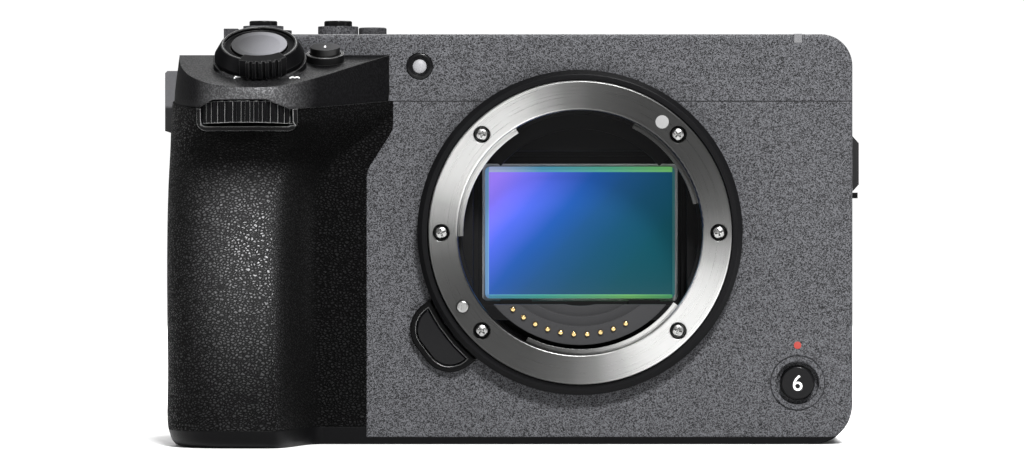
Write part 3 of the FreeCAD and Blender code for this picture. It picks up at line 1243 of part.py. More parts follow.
def write_parts():
    os.makedirs("parts", exist_ok=True)
    for name in sorted(parts):
        shape = parts[name]
        solids = shape.Solids
        if len(solids) == 1:
            shape = solids[0]
        shape.exportStep("parts/" + name + ".step")
        print(name, len(solids), round(shape.Volume, 1), shape.isValid())


make_grip()
make_deck()
make_lever()
make_covers()
make_mount()
make_throat()
make_small_pieces()
make_fittings()
make_monitor()
make_controls()
make_doors()
make_inside()
write_parts()
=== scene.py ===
import json
import math

import bmesh
import bpy
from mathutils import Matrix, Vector


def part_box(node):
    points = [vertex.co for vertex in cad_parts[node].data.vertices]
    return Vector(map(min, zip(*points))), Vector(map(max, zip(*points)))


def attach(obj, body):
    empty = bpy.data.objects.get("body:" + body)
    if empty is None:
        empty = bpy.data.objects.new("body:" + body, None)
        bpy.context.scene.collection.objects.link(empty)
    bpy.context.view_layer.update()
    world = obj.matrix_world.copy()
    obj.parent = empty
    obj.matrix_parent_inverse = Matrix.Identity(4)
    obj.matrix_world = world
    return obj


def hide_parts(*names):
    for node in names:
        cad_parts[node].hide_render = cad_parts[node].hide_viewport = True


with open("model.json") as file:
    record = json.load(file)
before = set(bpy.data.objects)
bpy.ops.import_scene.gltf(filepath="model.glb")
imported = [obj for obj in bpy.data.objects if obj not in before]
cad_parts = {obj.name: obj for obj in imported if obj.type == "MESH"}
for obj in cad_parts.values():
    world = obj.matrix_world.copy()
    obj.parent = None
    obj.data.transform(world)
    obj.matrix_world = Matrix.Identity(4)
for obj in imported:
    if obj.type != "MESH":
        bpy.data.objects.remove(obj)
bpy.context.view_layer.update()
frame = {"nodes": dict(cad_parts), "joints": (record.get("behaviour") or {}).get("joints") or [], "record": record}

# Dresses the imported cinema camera. Blender's units are metres, +Z is up, the lens side faces -Y and
# the grip is at -X. Lengths in the dictionaries are millimetres, unless a note there says metres.

mm = 0.001
up = Vector((0, 0, 1))
front = Vector((0, -1, 0))
back = Vector((0, 1, 0))
right = Vector((1, 0, 0))
photoWidth = 1024
photoHeight = 465
noiseReach = (0.3, 0.7)                          # where most values of a noise lie
edgeReach = (0.985, 0.86)                        # cosines between a softened corner and the plain surface


# Places read from the frame

def jointNamed(name):
    return next(joint for joint in frame["joints"] if joint["name"] == name)


def pressFace(name):                             # the way that a button's face looks, against its press
    return -Vector(jointNamed(name)["axis"])


mountLow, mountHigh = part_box("mount_ring")
lensZ = (mountLow.z + mountHigh.z) / 2
flangeY = mountLow.y
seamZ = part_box("top_cover")[0].z
glassLow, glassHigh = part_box("sensor_glass")


# Shader maths

class Reading:                                   # a node's output that takes plain arithmetic
    def __init__(self, paint, socket):
        self.paint = paint
        self.socket = socket

    def work(self, operation, first, second):
        return self.paint.node("ShaderNodeMath", {"operation": operation}, {0: first, 1: second})

    def __add__(self, other):
        return self.work("ADD", self, other)

    def __radd__(self, other):
        return self.work("ADD", other, self)

    def __sub__(self, other):
        return self.work("SUBTRACT", self, other)

    def __rsub__(self, other):
        return self.work("SUBTRACT", other, self)

    def __mul__(self, other):
        return self.work("MULTIPLY", self, other)

    def __rmul__(self, other):
        return self.work("MULTIPLY", other, self)

    def __gt__(self, other):
        return self.work("GREATER_THAN", self, other)

    def __lt__(self, other):
        return self.work("LESS_THAN", self, other)


class Paint:                                     # one procedural finish
    def __init__(self, name, fixed):             # fixed holds what is the same all over the surface
        self.material = bpy.data.materials.new(name)
        self.material.use_nodes = True
        self.tree = self.material.node_tree
        self.shader = self.tree.nodes["Principled BSDF"]
        for socket, value in fixed.items():
            self.feed(self.shader.inputs[socket], value)

    def node(self, kind, settings=None, values=None, output=0):
        made = self.tree.nodes.new(kind)
        for name, value in (settings or {}).items():
            if name == "stops":
                self.placeStops(made.color_ramp, value)
            else:
                setattr(made, name, value)
        for socket, value in (values or {}).items():
            self.feed(made.inputs[socket], value)
        return Reading(self, made.outputs[output])

    def feed(self, socket, value):
        if isinstance(value, Reading):
            self.tree.links.new(value.socket, socket)
        elif isinstance(value, tuple) and len(value) == 3 and socket.type == "RGBA":
            socket.default_value = (*value, 1.0)
        else:
            socket.default_value = value

    def placeStops(self, ramp, stops):
        while len(ramp.elements) < len(stops):
            ramp.elements.new(0.5)
        for element, (place, colour) in zip(ramp.elements, stops):
            element.position = place
            element.color = (*colour, 1.0)

    def vector(self, operation, first, second=(0.0, 0.0, 0.0), output=0):
        values = {0: first, 1: second}
        return self.node("ShaderNodeVectorMath", {"operation": operation}, values, output)

    def scaled(self, vector, factor):
        return self.node("ShaderNodeVectorMath", {"operation": "SCALE"}, {0: vector, "Scale": factor})

    def place(self):                             # where a point lies on the camera, in millimetres
        return self.scaled(self.node("ShaderNodeTexCoord", output="Object"), 1 / mm)

    def axis(self, spot, letter):
        return self.node("ShaderNodeSeparateXYZ", {}, {0: spot}, letter)

    def noise(self, spot, scale, detail=2.0, rough=0.5):
        values = {"Vector": spot, "Scale": scale, "Detail": detail, "Roughness": rough}
        return self.node("ShaderNodeTexNoise", {}, values)

    def cells(self, spot, scale, feature="F1", output="Distance", randomness=1.0):
        values = {"Vector": spot, "Scale": scale, "Randomness": randomness}
        return self.node("ShaderNodeTexVoronoi", {"feature": feature}, values, output)

    def flecks(self, spot, scale):               # a random brightness for each cell
        shades = self.cells(spot, scale, output="Color")
        return self.node("ShaderNodeSeparateColor", {}, {0: shades}, "Red")

    def fit(self, value, low, high, newLow=0.0, newHigh=1.0, smooth=False):
        kind = "SMOOTHSTEP" if smooth else "LINEAR"
        values = {"Value": value, "From Min": low, "From Max": high, "To Min": newLow, "To Max": newHigh}
        return self.node("ShaderNodeMapRange", {"interpolation_type": kind}, values)

    def grow(self, value, low, high):            # a soft step from 0 up to 1
        return self.fit(value, low, high, smooth=True)

    def fall(self, value, low, high):            # a soft step from 1 down to 0
        return self.fit(value, low, high, 1.0, 0.0, smooth=True)

    def vary(self, grain, middle, below, above):   # spreads a noise's usual reach about a value
        return self.fit(grain, *noiseReach, middle - below, middle + above)

    def mix(self, share, first, second):
        values = {"Factor": share, 6: first, 7: second}
        return self.node("ShaderNodeMix", {"data_type": "RGBA"}, values, 2)

    def warp(self, spot, scale, amount):         # bends a pattern out of its straight lines
        values = {"Vector": spot, "Scale": scale, "Detail": 1.0}
        swirl = self.node("ShaderNodeTexNoise", {}, values, "Color")
        centred = self.vector("SUBTRACT", swirl, (0.5, 0.5, 0.5))
        return self.vector("ADD", spot, self.scaled(centred, amount))

    def colour(self, value):
        self.feed(self.shader.inputs["Base Color"], value)

    def roughness(self, value):
        self.feed(self.shader.inputs["Roughness"], value)

    def metallic(self, value):
        self.feed(self.shader.inputs["Metallic"], value)

    def relief(self, height, depth, edge=0.0, normal=None):   # edge is the radius of the softened corners
        values = {"Height": height, "Distance": depth * mm, "Strength": 1.0}
        if edge:
            values["Normal"] = self.softEdge(edge)
        if normal:
            values["Normal"] = normal
        self.feed(self.shader.inputs["Normal"], self.node("ShaderNodeBump", {}, values))

    def softEdge(self, radius):
        return self.node("ShaderNodeBevel", {"samples": 4}, {"Radius": radius * mm})

    def edgeShare(self, radius):                 # 1 along sharp edges, 0 on open faces
        plain = self.node("ShaderNodeNewGeometry", output="Normal")
        level = self.vector("DOT_PRODUCT", self.softEdge(radius), plain, "Value")
        return self.grow(level, *edgeReach)

    def tip(self, normal, side, rise):           # leans a surface a little, for a swell too slight to model
        lean = self.node("ShaderNodeCombineXYZ", {}, {"X": side, "Z": rise})
        return self.vector("NORMALIZE", self.vector("ADD", normal, lean))


def toned(colour, share):
    return tuple(channel * share for channel in colour)


# Finishes, each with its own dictionary of what a user may change

speckle = {
    "dark": (0.001, 0.001, 0.0015), "light": (0.083, 0.084, 0.091), "roughness": 0.5, "gloss": 0.2,
    "scale": 5.6, "cloudScale": 1.3, "fleckShare": 0.75, "reach": (0.58, 1.14), "depth": 0.03, "edge": 0.3,
    "seam": None, "halfSeam": 0.1, "seamColour": (0.004, 0.004, 0.005),
}


def speckledPaint(name, look):
    paint = Paint(name, {"Roughness": look["roughness"], "Specular IOR Level": look["gloss"]})
    spot = paint.place()
    cloud = paint.noise(spot, look["scale"] * look["cloudScale"], rough=0.6)
    shade = paint.fit(paint.flecks(spot, look["scale"]) * look["fleckShare"] + cloud, *look["reach"])
    colour = paint.mix(shade, look["dark"], look["light"])
    if look["seam"]:                             # the fine dark line under the top cover
        height = paint.axis(spot, "Z")
        low = look["seam"] - look["halfSeam"]
        high = look["seam"] + look["halfSeam"]
        colour = paint.mix((height > low) * (height < high), colour, look["seamColour"])
    paint.colour(colour)
    paint.relief(shade, look["depth"], edge=look["edge"])
    return paint.material


rubber = {
    # the pebble colours paint the creases darker than the domes, a painted shade; the lighter colours on the palm
    # and the grip's outer edge are a painted highlight, and the scoop's colour is a painted shade
    "low": (0.0001, 0.0001, 0.0001), "base": (0.012, 0.012, 0.0122), "high": (0.0045, 0.0045, 0.0047),
    "paintedSheen": (0.1, 0.1, 0.102), "hollow": (0.0001, 0.0001, 0.0001), "gloss": 0.07, "edge": 0.3,
    "scale": 1.7, "bend": 0.6, "wander": 0.7, "stretch": (0.85, 0.85, 1.2), "plump": 0.3, "depth": 0.42,
    "swellScale": 0.35, "dustScale": 6.0, "domeShare": 0.66, "swellShare": 0.26, "dustShare": 0.08,
    "shine": 0.8, "creaseShine": 0.35, "facing": (-0.1, -0.6),
    "litReach": (0.3, 0.95), "dull": 0.52, "worn": 0.42, "dimReach": (0.35, 0.9), "matt": 0.95, "soft": 0.37,
    "strip": (-78.5, -74.5), "side": 0.22,       # the light on the grip's outer edge
    "palm": {"left": (-75.0, -63.0), "right": (-56.5, -49.5), "height": (6.0, 38.0), "top": (44.0, 54.0),
             "lean": (0.1, 0.34), "turn": 0.26, "wrapSpan": (-59.0, -56.0), "wrap": 0.75, "lowShare": 0.12},
    "scoop": {"low": (51.0, 55.0), "high": (59.5, 61.5), "left": (-77.0, -72.0), "right": (-52.0, -46.0),
              "tuck": 0.9},
}


def grainedRubber(name, look):
    paint = Paint(name, {"Specular IOR Level": look["gloss"]})
    spot = paint.place()
    x = paint.axis(spot, "X")
    z = paint.axis(spot, "Z")
    stretched = paint.vector("MULTIPLY", paint.warp(spot, look["bend"], look["wander"]), look["stretch"])
    crease = paint.cells(stretched, look["scale"], "DISTANCE_TO_EDGE")
    dome = paint.grow(crease, 0.0, look["plump"])
    swell = paint.noise(spot, look["scale"] * look["swellScale"])
    dust = paint.noise(spot, look["dustScale"], 3.0, 0.65)
    height = dome * look["domeShare"] + swell * look["swellShare"] + dust * look["dustShare"]
    normal = paint.softEdge(look["edge"])
    facing = paint.grow(paint.axis(normal, "Y"), *look["facing"])

    palm = look["palm"]                          # the palm's slight swell, under the pebbles
    onPalm = paint.grow(x, *palm["left"]) * paint.fall(x, *palm["right"])
    topFade = paint.fall(z, *palm["top"])
    lean = paint.fit(z, *palm["height"], *palm["lean"]) * topFade
    turn = paint.fit(x, *palm["left"], -palm["turn"], 0.0)
    turn = turn - onPalm * paint.fit(x, *palm["wrapSpan"], 0.0, palm["wrap"], smooth=True)
    # where the palm faces forward its pebbles get a painted highlight: lighter colours and a metallic shine
    palmHighlight = onPalm * paint.fit(z, *palm["height"], palm["lowShare"], 1.0, smooth=True) * topFade * facing

    scoop = look["scoop"]                        # the shade under the front dial
    shade = paint.grow(z, *scoop["low"]) * paint.fall(z, *scoop["high"])
    shade = shade * paint.grow(x, *scoop["left"]) * paint.fall(x, *scoop["right"])
    bright = palmHighlight + paint.fall(x, *look["strip"]) * look["side"] * (1.0 - palmHighlight)
    # the creases are painted darker than the pebble domes, a painted shade
    low = paint.mix(bright, look["low"], look["base"])
    high = paint.mix(bright, look["high"], look["paintedSheen"])
    # the scoop under the front dial is painted near black, a painted shade
    paint.colour(paint.mix(shade, paint.mix(dome, low, high), look["hollow"]))
    domeShine = paint.fit(dome, 0.0, 1.0, look["creaseShine"], 1.0)
    paint.metallic(domeShine * bright * (1.0 - shade) * look["shine"])
    lit = paint.fit(height, *look["litReach"], look["dull"], look["worn"])
    dim = paint.fit(height, *look["dimReach"], look["matt"], look["soft"])
    paint.roughness(lit * bright + (1.0 - bright) * dim)
    rise = onPalm * lean * facing - shade * scoop["tuck"]
    paint.relief(height, look["depth"], normal=paint.tip(normal, turn * facing, rise))
    return paint.material


moulded = {                                      # what the moulded blacks share
    "gloss": 0.055, "coat": 0.0, "coatRoughness": 0.12, "lift": 1.6, "haze": 0.001, "cloudScale": 0.12,
    "sparkShare": 0.7, "spread": 0.06, "depth": 0.01, "edge": 0.25,
    "rim": 0.0, "rimWidth": 0.2, "rimShine": 0.7,   # a painted highlight along sharp edges, which also shine a little
    "top": 0.0, "topFacing": (0.6, 0.85),        # the roughness of faces that look up
}
mouldedBlacks = {
    "blackShell": {"colour": (0.0016, 0.0016, 0.0018), "roughness": 0.47, "scale": 5.0, "depth": 0.03},
    "mountBlack": {"colour": (0.003, 0.003, 0.0033), "roughness": 0.36, "scale": 6.0},
    "baffleBlack": {"colour": (0.0028, 0.0028, 0.003), "roughness": 0.62, "scale": 9.0, "depth": 0.02,
                    "gloss": 0.08},
    "buttonBlack": {"colour": (0.0022, 0.0022, 0.0025), "roughness": 0.38, "scale": 7.0, "coat": 0.15},
    "leverBlack": {"colour": (0.001, 0.001, 0.0012), "roughness": 0.36, "scale": 7.0, "gloss": 0.05,
                   "rim": 0.06, "top": 0.85},
    "dialBlack": {"colour": (0.0016, 0.0016, 0.0018), "roughness": 0.33, "scale": 7.0, "edge": 0.15,
                  "rim": 0.45},
    "lugBlack": {"colour": (0.006, 0.006, 0.0065), "roughness": 0.4, "scale": 5.0},
    "innerPlastic": {"colour": (0.01, 0.01, 0.011), "roughness": 0.5, "scale": 4.0, "depth": 0.02},
    "contactGrey": {"colour": (0.022, 0.022, 0.023), "roughness": 0.45, "scale": 5.0, "depth": 0.02},
    # the black ring of painted shade in the screw gaps
    "gapShade": {"colour": (0.0006, 0.0006, 0.0006), "roughness": 0.7, "scale": 6.0, "gloss": 0.02},
    "frameBlack": {"colour": (0.001, 0.001, 0.0011), "roughness": 0.32, "scale": 6.0, "rim": 0.3,
                   "rimWidth": 0.26},
}


def mouldedBlack(name):
    look = dict(moulded, **mouldedBlacks[name])
    paint = Paint(name, {"Specular IOR Level": look["gloss"], "Coat Weight": look["coat"],
                         "Coat Roughness": look["coatRoughness"]})
    spot = paint.place()
    spark = paint.noise(spot, look["scale"], rough=0.6)
    cloud = paint.noise(spot, look["cloudScale"])
    light = tuple(channel * look["lift"] + look["haze"] for channel in look["colour"])
    shade = spark * look["sparkShare"] + cloud * (1 - look["sparkShare"])
    shade = paint.mix(shade, look["colour"], light)
    # the rim colour paints a highlight along the sharp edges
    if look["rim"]:
        edge = paint.edgeShare(look["rimWidth"])
        shade = paint.mix(edge, shade, (look["rim"],) * 3)
        paint.metallic(edge * look["rimShine"])
    paint.colour(shade)
    gloss = paint.vary(spark * 0.5 + cloud * 0.5, look["roughness"], look["spread"], look["spread"])
    if look["top"]:
        raised = paint.grow(paint.axis(paint.softEdge(0.1), "Z"), *look["topFacing"])
        gloss = raised * look["top"] + (1.0 - raised) * gloss
    paint.roughness(gloss)
    paint.relief(spark, look["depth"], edge=look["edge"])
    return paint.material


deckLook = {                                     # moulded black with a satin brow over the front dial, whose sheen is painted into its colour, and a painted highlight along its sharp edges
    "colour": (0.0012, 0.0012, 0.0014), "light": (0.0045, 0.0045, 0.005), "gloss": 0.055, "edge": 0.35,
    "scale": 3.0, "fleck": (0.44, 0.62), "depth": 0.12, "matt": 0.7, "satin": (0.55, 0.4), "flat": (0.5, 0.8),
    "rim": (0.09, 0.09, 0.09), "rimWidth": 0.16, "rimShine": 0.6,
    "sheen": (0.1, 0.1, 0.103), "sheenLow": 0.45, "sheenShine": 0.8, "facing": (-0.2, -0.6), "rise": 0.35,
    "browLeft": (-72.0, -66.0), "browRight": (-57.5, -48.5), "ledge": 70.0,
}


def deckPlastic(name, look):
    paint = Paint(name, {"Specular IOR Level": look["gloss"]})
    spot = paint.place()
    x = paint.axis(spot, "X")
    spark = paint.noise(spot, look["scale"], rough=0.6)
    normal = paint.softEdge(look["edge"])
    facing = paint.grow(paint.axis(normal, "Y"), *look["facing"])
    brow = paint.grow(x, *look["browLeft"]) * paint.fall(x, *look["browRight"])
    brow = brow * facing * (paint.axis(spot, "Z") < look["ledge"])
    flat = paint.grow(paint.axis(normal, "Z"), *look["flat"])
    shine = brow + flat * (1.0 - brow)
    fleck = paint.grow(spark, *look["fleck"])
    edge = paint.edgeShare(look["rimWidth"])
    # the rim colour along sharp edges and the brow's sheen colour are painted highlights
    plain = paint.mix(edge, paint.mix(fleck, look["colour"], look["light"]), look["rim"])
    sheen = paint.mix(fleck, toned(look["sheen"], look["sheenLow"]), look["sheen"])
    paint.colour(paint.mix(brow, plain, sheen))
    paint.metallic(brow * look["sheenShine"] + edge * (1.0 - brow) * look["rimShine"])
    satin = paint.fit(fleck, 0.0, 1.0, *look["satin"])
    paint.roughness(shine * satin + (1.0 - shine) * look["matt"])
    paint.relief(spark, look["depth"], normal=paint.tip(normal, 0.0, brow * look["rise"]))
    return paint.material


satinFace = {                                    # what the satin caps share, with black sides
    "side": (0.002, 0.002, 0.002), "facing": (0.8, 0.93), "roughness": 0.36, "edge": 0.15, "depth": 0.008,
    "grainScale": 7.0, "grainShare": 0.3, "grainTone": 0.8,
}
satinCaps = {                                    # each cap's colour carries a painted sheen, which goes from low to lift along its span in X
    "dishedCap": {"joint": "shutter_press", "colour": (0.034, 0.034, 0.037), "sheenSpan": (-65.0, -54.8),
                  "low": 0.05, "lift": 2.0, "flatten": 1.6, "edgeTint": 0.6},
    "satinCap": {"joint": "deck_button_press", "colour": (0.02, 0.02, 0.021), "sheenSpan": (-50.5, -45.3),
                 "low": 0.3, "lift": 1.3, "flatten": 0.5, "edgeTint": 0.62},
}


def satinTop(name):
    look = dict(satinFace, **satinCaps[name])
    paint = Paint(name, {"Specular Tint": (look["edgeTint"],) * 3})
    spot = paint.place()
    grain = paint.noise(spot, look["grainScale"], 3.0, 0.65)
    axis = pressFace(look["joint"])
    rounded = paint.softEdge(look["edge"])
    face = paint.grow(paint.vector("DOT_PRODUCT", rounded, axis, "Value"), *look["facing"])
    # a painted sheen: the cap's colour brightens across it in X
    slant = paint.grow(paint.axis(spot, "X"), *look["sheenSpan"])
    tone = paint.mix(slant, toned(look["colour"], look["low"]), toned(look["colour"], look["lift"]))
    tone = paint.mix(grain * look["grainShare"], tone, toned(look["colour"], look["grainTone"]))
    paint.colour(paint.mix(face, look["side"], tone))
    paint.metallic(face)
    paint.roughness(paint.vary(grain, look["roughness"], below=0.04, above=0.06))
    level = paint.vector("NORMALIZE", paint.vector("ADD", rounded, axis * look["flatten"]))
    values = {"Factor": face, 4: rounded, 5: level}
    smooth = paint.node("ShaderNodeMix", {"data_type": "VECTOR"}, values, 1)
    paint.relief(grain, look["depth"], normal=smooth)
    return paint.material


collarLook = {"scale": 3.6, "dark": (0.012, 0.012, 0.014), "light": (0.09, 0.09, 0.096), "gloss": 0.12,
              "plain": (0.002, 0.002, 0.0022), "rim": (0.2, 0.2, 0.2), "rimWidth": 0.3, "rimShine": 0.7,
              "split": -10.0, "depth": 0.02, "edge": 0.25}


def collarSpeckle(name, look):                   # speckled on the top, plain black round the deck button, with a painted highlight along the sharp edges there
    paint = Paint(name, {"Specular IOR Level": look["gloss"]})
    spot = paint.place()
    flecks = paint.flecks(spot, look["scale"])
    onTop = paint.axis(spot, "Y") > look["split"]
    shade = paint.mix(onTop, look["plain"], paint.mix(flecks, look["dark"], look["light"]))
    edge = paint.edgeShare(look["rimWidth"]) * (1.0 - onTop)
    paint.metallic(edge * look["rimShine"])
    paint.colour(paint.mix(edge, shade, look["rim"]))
    paint.relief(flecks * onTop, look["depth"], edge=look["edge"])
    return paint.material


lugLook = {"dark": (0.003, 0.003, 0.0033), "grey": (0.085, 0.085, 0.09), "low": 0.6, "lift": 2.0,
           "roughness": 0.42, "gloss": 0.25, "scale": 5.0, "split": -60.0, "level": (63.9, 64.5),
           "depth": 0.01, "edge": 0.3}


def twoToneLug(name, look):                      # grey on the upper half of the lug beside the grip
    paint = Paint(name, {"Roughness": look["roughness"], "Specular IOR Level": look["gloss"]})
    spot = paint.place()
    grain = paint.noise(spot, look["scale"], 3.0, 0.6)
    upper = paint.fit(paint.axis(spot, "Z"), *look["level"]) * (paint.axis(spot, "X") < look["split"])
    grey = paint.mix(grain, toned(look["grey"], look["low"]), look["grey"])
    dark = paint.mix(grain, look["dark"], toned(look["dark"], look["lift"]))
    paint.colour(paint.mix(upper, dark, grey))
    paint.relief(grain, look["depth"], edge=look["edge"])
    return paint.material


ringLook = {
    "tones": [(0.0, 0.05), (0.3, 0.09), (0.6, 0.17), (0.84, 0.34), (1.0, 0.6)], "warmth": 0.985,
    "glare": math.radians(138), "lines": 8.0, "streak": 0.7, "stray": 0.24, "roughness": 0.3,
    "depth": 0.006, "edge": 0.15,
}


def turnedRing(name, look):                      # lathe lines round the lens, with two bright fans of painted highlight in the colour
    paint = Paint(name, {"Metallic": 1.0})
    spot = paint.place()
    x = paint.axis(spot, "X")
    z = paint.axis(spot, "Z") - lensZ / mm
    radius = paint.node("ShaderNodeMath", {"operation": "SQRT"}, {0: x * x + z * z})
    angle = paint.node("ShaderNodeMath", {"operation": "ARCTAN2"}, {0: z, 1: x})
    values = {"X": radius * look["lines"], "Y": angle * look["streak"]}
    lines = paint.noise(paint.node("ShaderNodeCombineXYZ", {}, values), 1.0, 3.0, 0.75)
    # the fans are a painted highlight, brightest along the glare's angle and opposite it
    fanHighlight = paint.node("ShaderNodeMath", {"operation": "COSINE"}, {0: (angle - look["glare"]) * 2.0})
    lit = paint.grow(fanHighlight + (lines - 0.5) * look["stray"], -1.0, 1.0)
    stops = [(place, (tone, tone, tone * look["warmth"])) for place, tone in look["tones"]]
    paint.colour(paint.node("ShaderNodeValToRGB", {"stops": stops}, {0: lit}))
    paint.roughness(paint.vary(lines, look["roughness"], below=0.05, above=0.07))
    paint.relief(lines, look["depth"], edge=look["edge"])
    return paint.material


metal = {"scale": 3.0, "low": 0.72, "edgeTint": 1.0, "depth": 0.01, "edge": 0.12}   # what the metals share
metals = {
    "brightSteel": {"colour": (0.5, 0.5, 0.49), "roughness": 0.24},
    "goldPlate": {"colour": (0.86, 0.62, 0.28), "roughness": 0.22},
    "shutterCap": {"colour": (0.042, 0.042, 0.044), "roughness": 0.34, "scale": 6.0},
    "castMetal": {"colour": (0.42, 0.42, 0.43), "roughness": 0.45},
    "dullSteel": {"colour": (0.06, 0.06, 0.06), "roughness": 0.4, "edgeTint": 0.62},
    "socketSteel": {"colour": (0.085, 0.085, 0.088), "roughness": 0.4},
    "screwSteel": {"colour": (0.36, 0.36, 0.355), "roughness": 0.3},
}


def brightMetal(name):
    look = dict(metal, **metals[name])
    paint = Paint(name, {"Metallic": 1.0, "Specular Tint": (look["edgeTint"],) * 3})
    scratches = paint.noise(paint.place(), look["scale"], 4.0, 0.7)
    paint.colour(paint.mix(scratches, toned(look["colour"], look["low"]), look["colour"]))
    paint.roughness(paint.vary(scratches, look["roughness"], below=0.06, above=0.08))
    paint.relief(scratches, look["depth"], edge=look["edge"])
    return paint.material


sensorLook = {                                   # the coating's colours, painted as a glow that stands for its reflected light, from left top to right bottom
    "film": [(0.0, (0.5, 0.29, 1.2)), (0.08, (0.42, 0.27, 1.25)), (0.17, (0.22, 0.215, 1.15)),
             (0.25, (0.09, 0.16, 0.85)), (0.38, (0.02, 0.111, 0.46)), (0.5, (0.016, 0.099, 0.275)),
             (0.62, (0.01, 0.09, 0.18)), (0.77, (0.005, 0.086, 0.125)), (0.9, (0.002, 0.08, 0.106)),
             (1.0, (0.001, 0.078, 0.095))],
    "topFilm": [(0.0, (0.55, 0.6, 0.9)), (0.3, (0.12, 0.42, 0.62)), (0.65, (0.12, 0.5, 0.34)),
                (1.0, (0.2, 0.6, 0.16))],
    "lowFilm": [(0.0, (0.12, 0.4, 0.62)), (0.3, (0.1, 0.5, 0.42)), (0.75, (0.22, 0.62, 0.2)),
                (1.0, (0.1, 0.42, 0.18))],
    "leftFilm": (0.2, 0.4, 0.7), "rightFilm": (0.045, 0.17, 0.18),
    "topBand": 1.05, "lowBand": 0.75, "leftBand": 0.75, "rightBand": 0.5,
    "across": 0.62, "cloudScale": 0.06, "drift": 0.06, "glow": 0.55, "black": 0.75,
    "roughness": 0.08, "gloss": 0.15, "coat": 0.1, "coatRoughness": 0.03,
}


def coatedSensor(name, look):
    paint = Paint(name, {"Roughness": look["roughness"], "Specular IOR Level": look["gloss"],
                         "Coat Weight": look["coat"], "Coat Roughness": look["coatRoughness"],
                         "Emission Strength": look["glow"]})
    low, high = glassLow / mm, glassHigh / mm
    spot = paint.place()
    x = paint.axis(spot, "X")
    z = paint.axis(spot, "Z")
    across = paint.fit(x, low.x, high.x)
    rise = paint.fit(z, low.z, high.z)
    slant = across * look["across"] + (1.0 - rise) * (1 - look["across"])
    slant = slant + (paint.noise(spot, look["cloudScale"], 1.0) - 0.5) * look["drift"]
    glow = paint.node("ShaderNodeValToRGB", {"stops": look["film"]}, {0: slant})
    topFilm = paint.node("ShaderNodeValToRGB", {"stops": look["topFilm"]}, {0: across})
    lowFilm = paint.node("ShaderNodeValToRGB", {"stops": look["lowFilm"]}, {0: across})
    # painted highlight bands along the glass's chamfered edges
    glow = paint.mix(z > high.z - look["topBand"], glow, topFilm)
    glow = paint.mix(z < low.z + look["lowBand"], glow, lowFilm)
    glow = paint.mix(x < low.x + look["leftBand"], glow, look["leftFilm"])
    glow = paint.mix(x > high.x - look["rightBand"], glow, look["rightFilm"])
    paint.colour(paint.mix(look["black"], glow, (0.0, 0.0, 0.0)))
    # the sensor glows with these colours, a painted light, though it is no lamp
    paint.feed(paint.shader.inputs["Emission Color"], glow)
    return paint.material


glassLook = {
    "silicon": (0.01, 0.01, 0.03), "screenGlass": (0.002, 0.002, 0.0026),
    "lift": 1.7, "smearScale": 0.08, "roughness": 0.08, "gloss": 0.1, "coat": 0.06, "coatRoughness": 0.03,
}


def tintedGlass(name, look):
    paint = Paint(name, {"Specular IOR Level": look["gloss"], "Coat Weight": look["coat"],
                         "Coat Roughness": look["coatRoughness"]})
    smear = paint.noise(paint.place(), look["smearScale"], 3.0)
    paint.colour(paint.mix(smear, look[name], toned(look[name], look["lift"])))
    paint.roughness(paint.vary(smear, look["roughness"], below=0.03, above=0.03))
    return paint.material


inkLook = {
    "frostedLamp": (0.62, 0.62, 0.64), "whiteInk": (0.85, 0.85, 0.85), "redInk": (0.26, 0.018, 0.01),
    "focusGlass": (0.22, 0.22, 0.23), "tallyLens": (0.11, 0.11, 0.115), "dotInk": (0.21, 0.21, 0.21),
    "roughness": 0.55, "scale": 6.0, "low": 0.82, "reliefScale": 8.0, "depth": 0.005,
}


def printedInk(name):
    look = inkLook
    paint = Paint(name, {"Roughness": look["roughness"]})
    spot = paint.place()
    paint.colour(paint.mix(paint.noise(spot, look["scale"]), toned(look[name], look["low"]), look[name]))
    paint.relief(paint.noise(spot, look["reliefScale"], 1.0), look["depth"])
    return paint.material


boardLook = {"board": (0.008, 0.06, 0.03), "track": (0.02, 0.14, 0.07), "roughness": 0.35,
             "scale": 0.35, "randomness": 0.4, "width": 0.06, "depth": 0.04}


def circuitBoard(name, look):
    paint = Paint(name, {"Roughness": look["roughness"]})
    walls = paint.cells(paint.place(), look["scale"], "DISTANCE_TO_EDGE", randomness=look["randomness"])
    tracks = walls < look["width"]
    paint.colour(paint.mix(tracks, look["board"], look["track"]))
    paint.relief(tracks, look["depth"])
    return paint.material


finishes = {
    "speckled_paint": speckledPaint("speckledPaint", dict(speckle, seam=seamZ / mm)),
    "collar_grey": speckledPaint("speckledCollar", dict(speckle, dark=(0.012, 0.012, 0.014),
                                                        light=(0.05, 0.05, 0.053))),
    "black_shell": mouldedBlack("blackShell"),
    "grip_rubber": grainedRubber("grainedRubber", rubber),
    "mount_steel": turnedRing("turnedRing", ringLook),
    "bright_steel": brightMetal("brightSteel"),
    "mount_black": mouldedBlack("mountBlack"),
    "baffle_black": mouldedBlack("baffleBlack"),
    "gold": brightMetal("goldPlate"),
    "sensor_coat": coatedSensor("coatedSensor", sensorLook),
    "silicon": tintedGlass("silicon", glassLook),
    "button_black": mouldedBlack("buttonBlack"),
    "shutter_cap": brightMetal("shutterCap"),
    "lever_black": mouldedBlack("leverBlack"),
    "dial_black": mouldedBlack("dialBlack"),
    "lamp": printedInk("frostedLamp"),
    "screen_glass": tintedGlass("screenGlass", glassLook),
    "lug_black": mouldedBlack("lugBlack"),
    "inner_metal": brightMetal("castMetal"),
    "circuit_board": circuitBoard("circuitBoard", boardLook),
    "inner_plastic": mouldedBlack("innerPlastic"),
}
whiteInk = printedInk("whiteInk")
frameBlack = mouldedBlack("frameBlack")
socketSteel = brightMetal("socketSteel")
screwSteel = brightMetal("screwSteel")
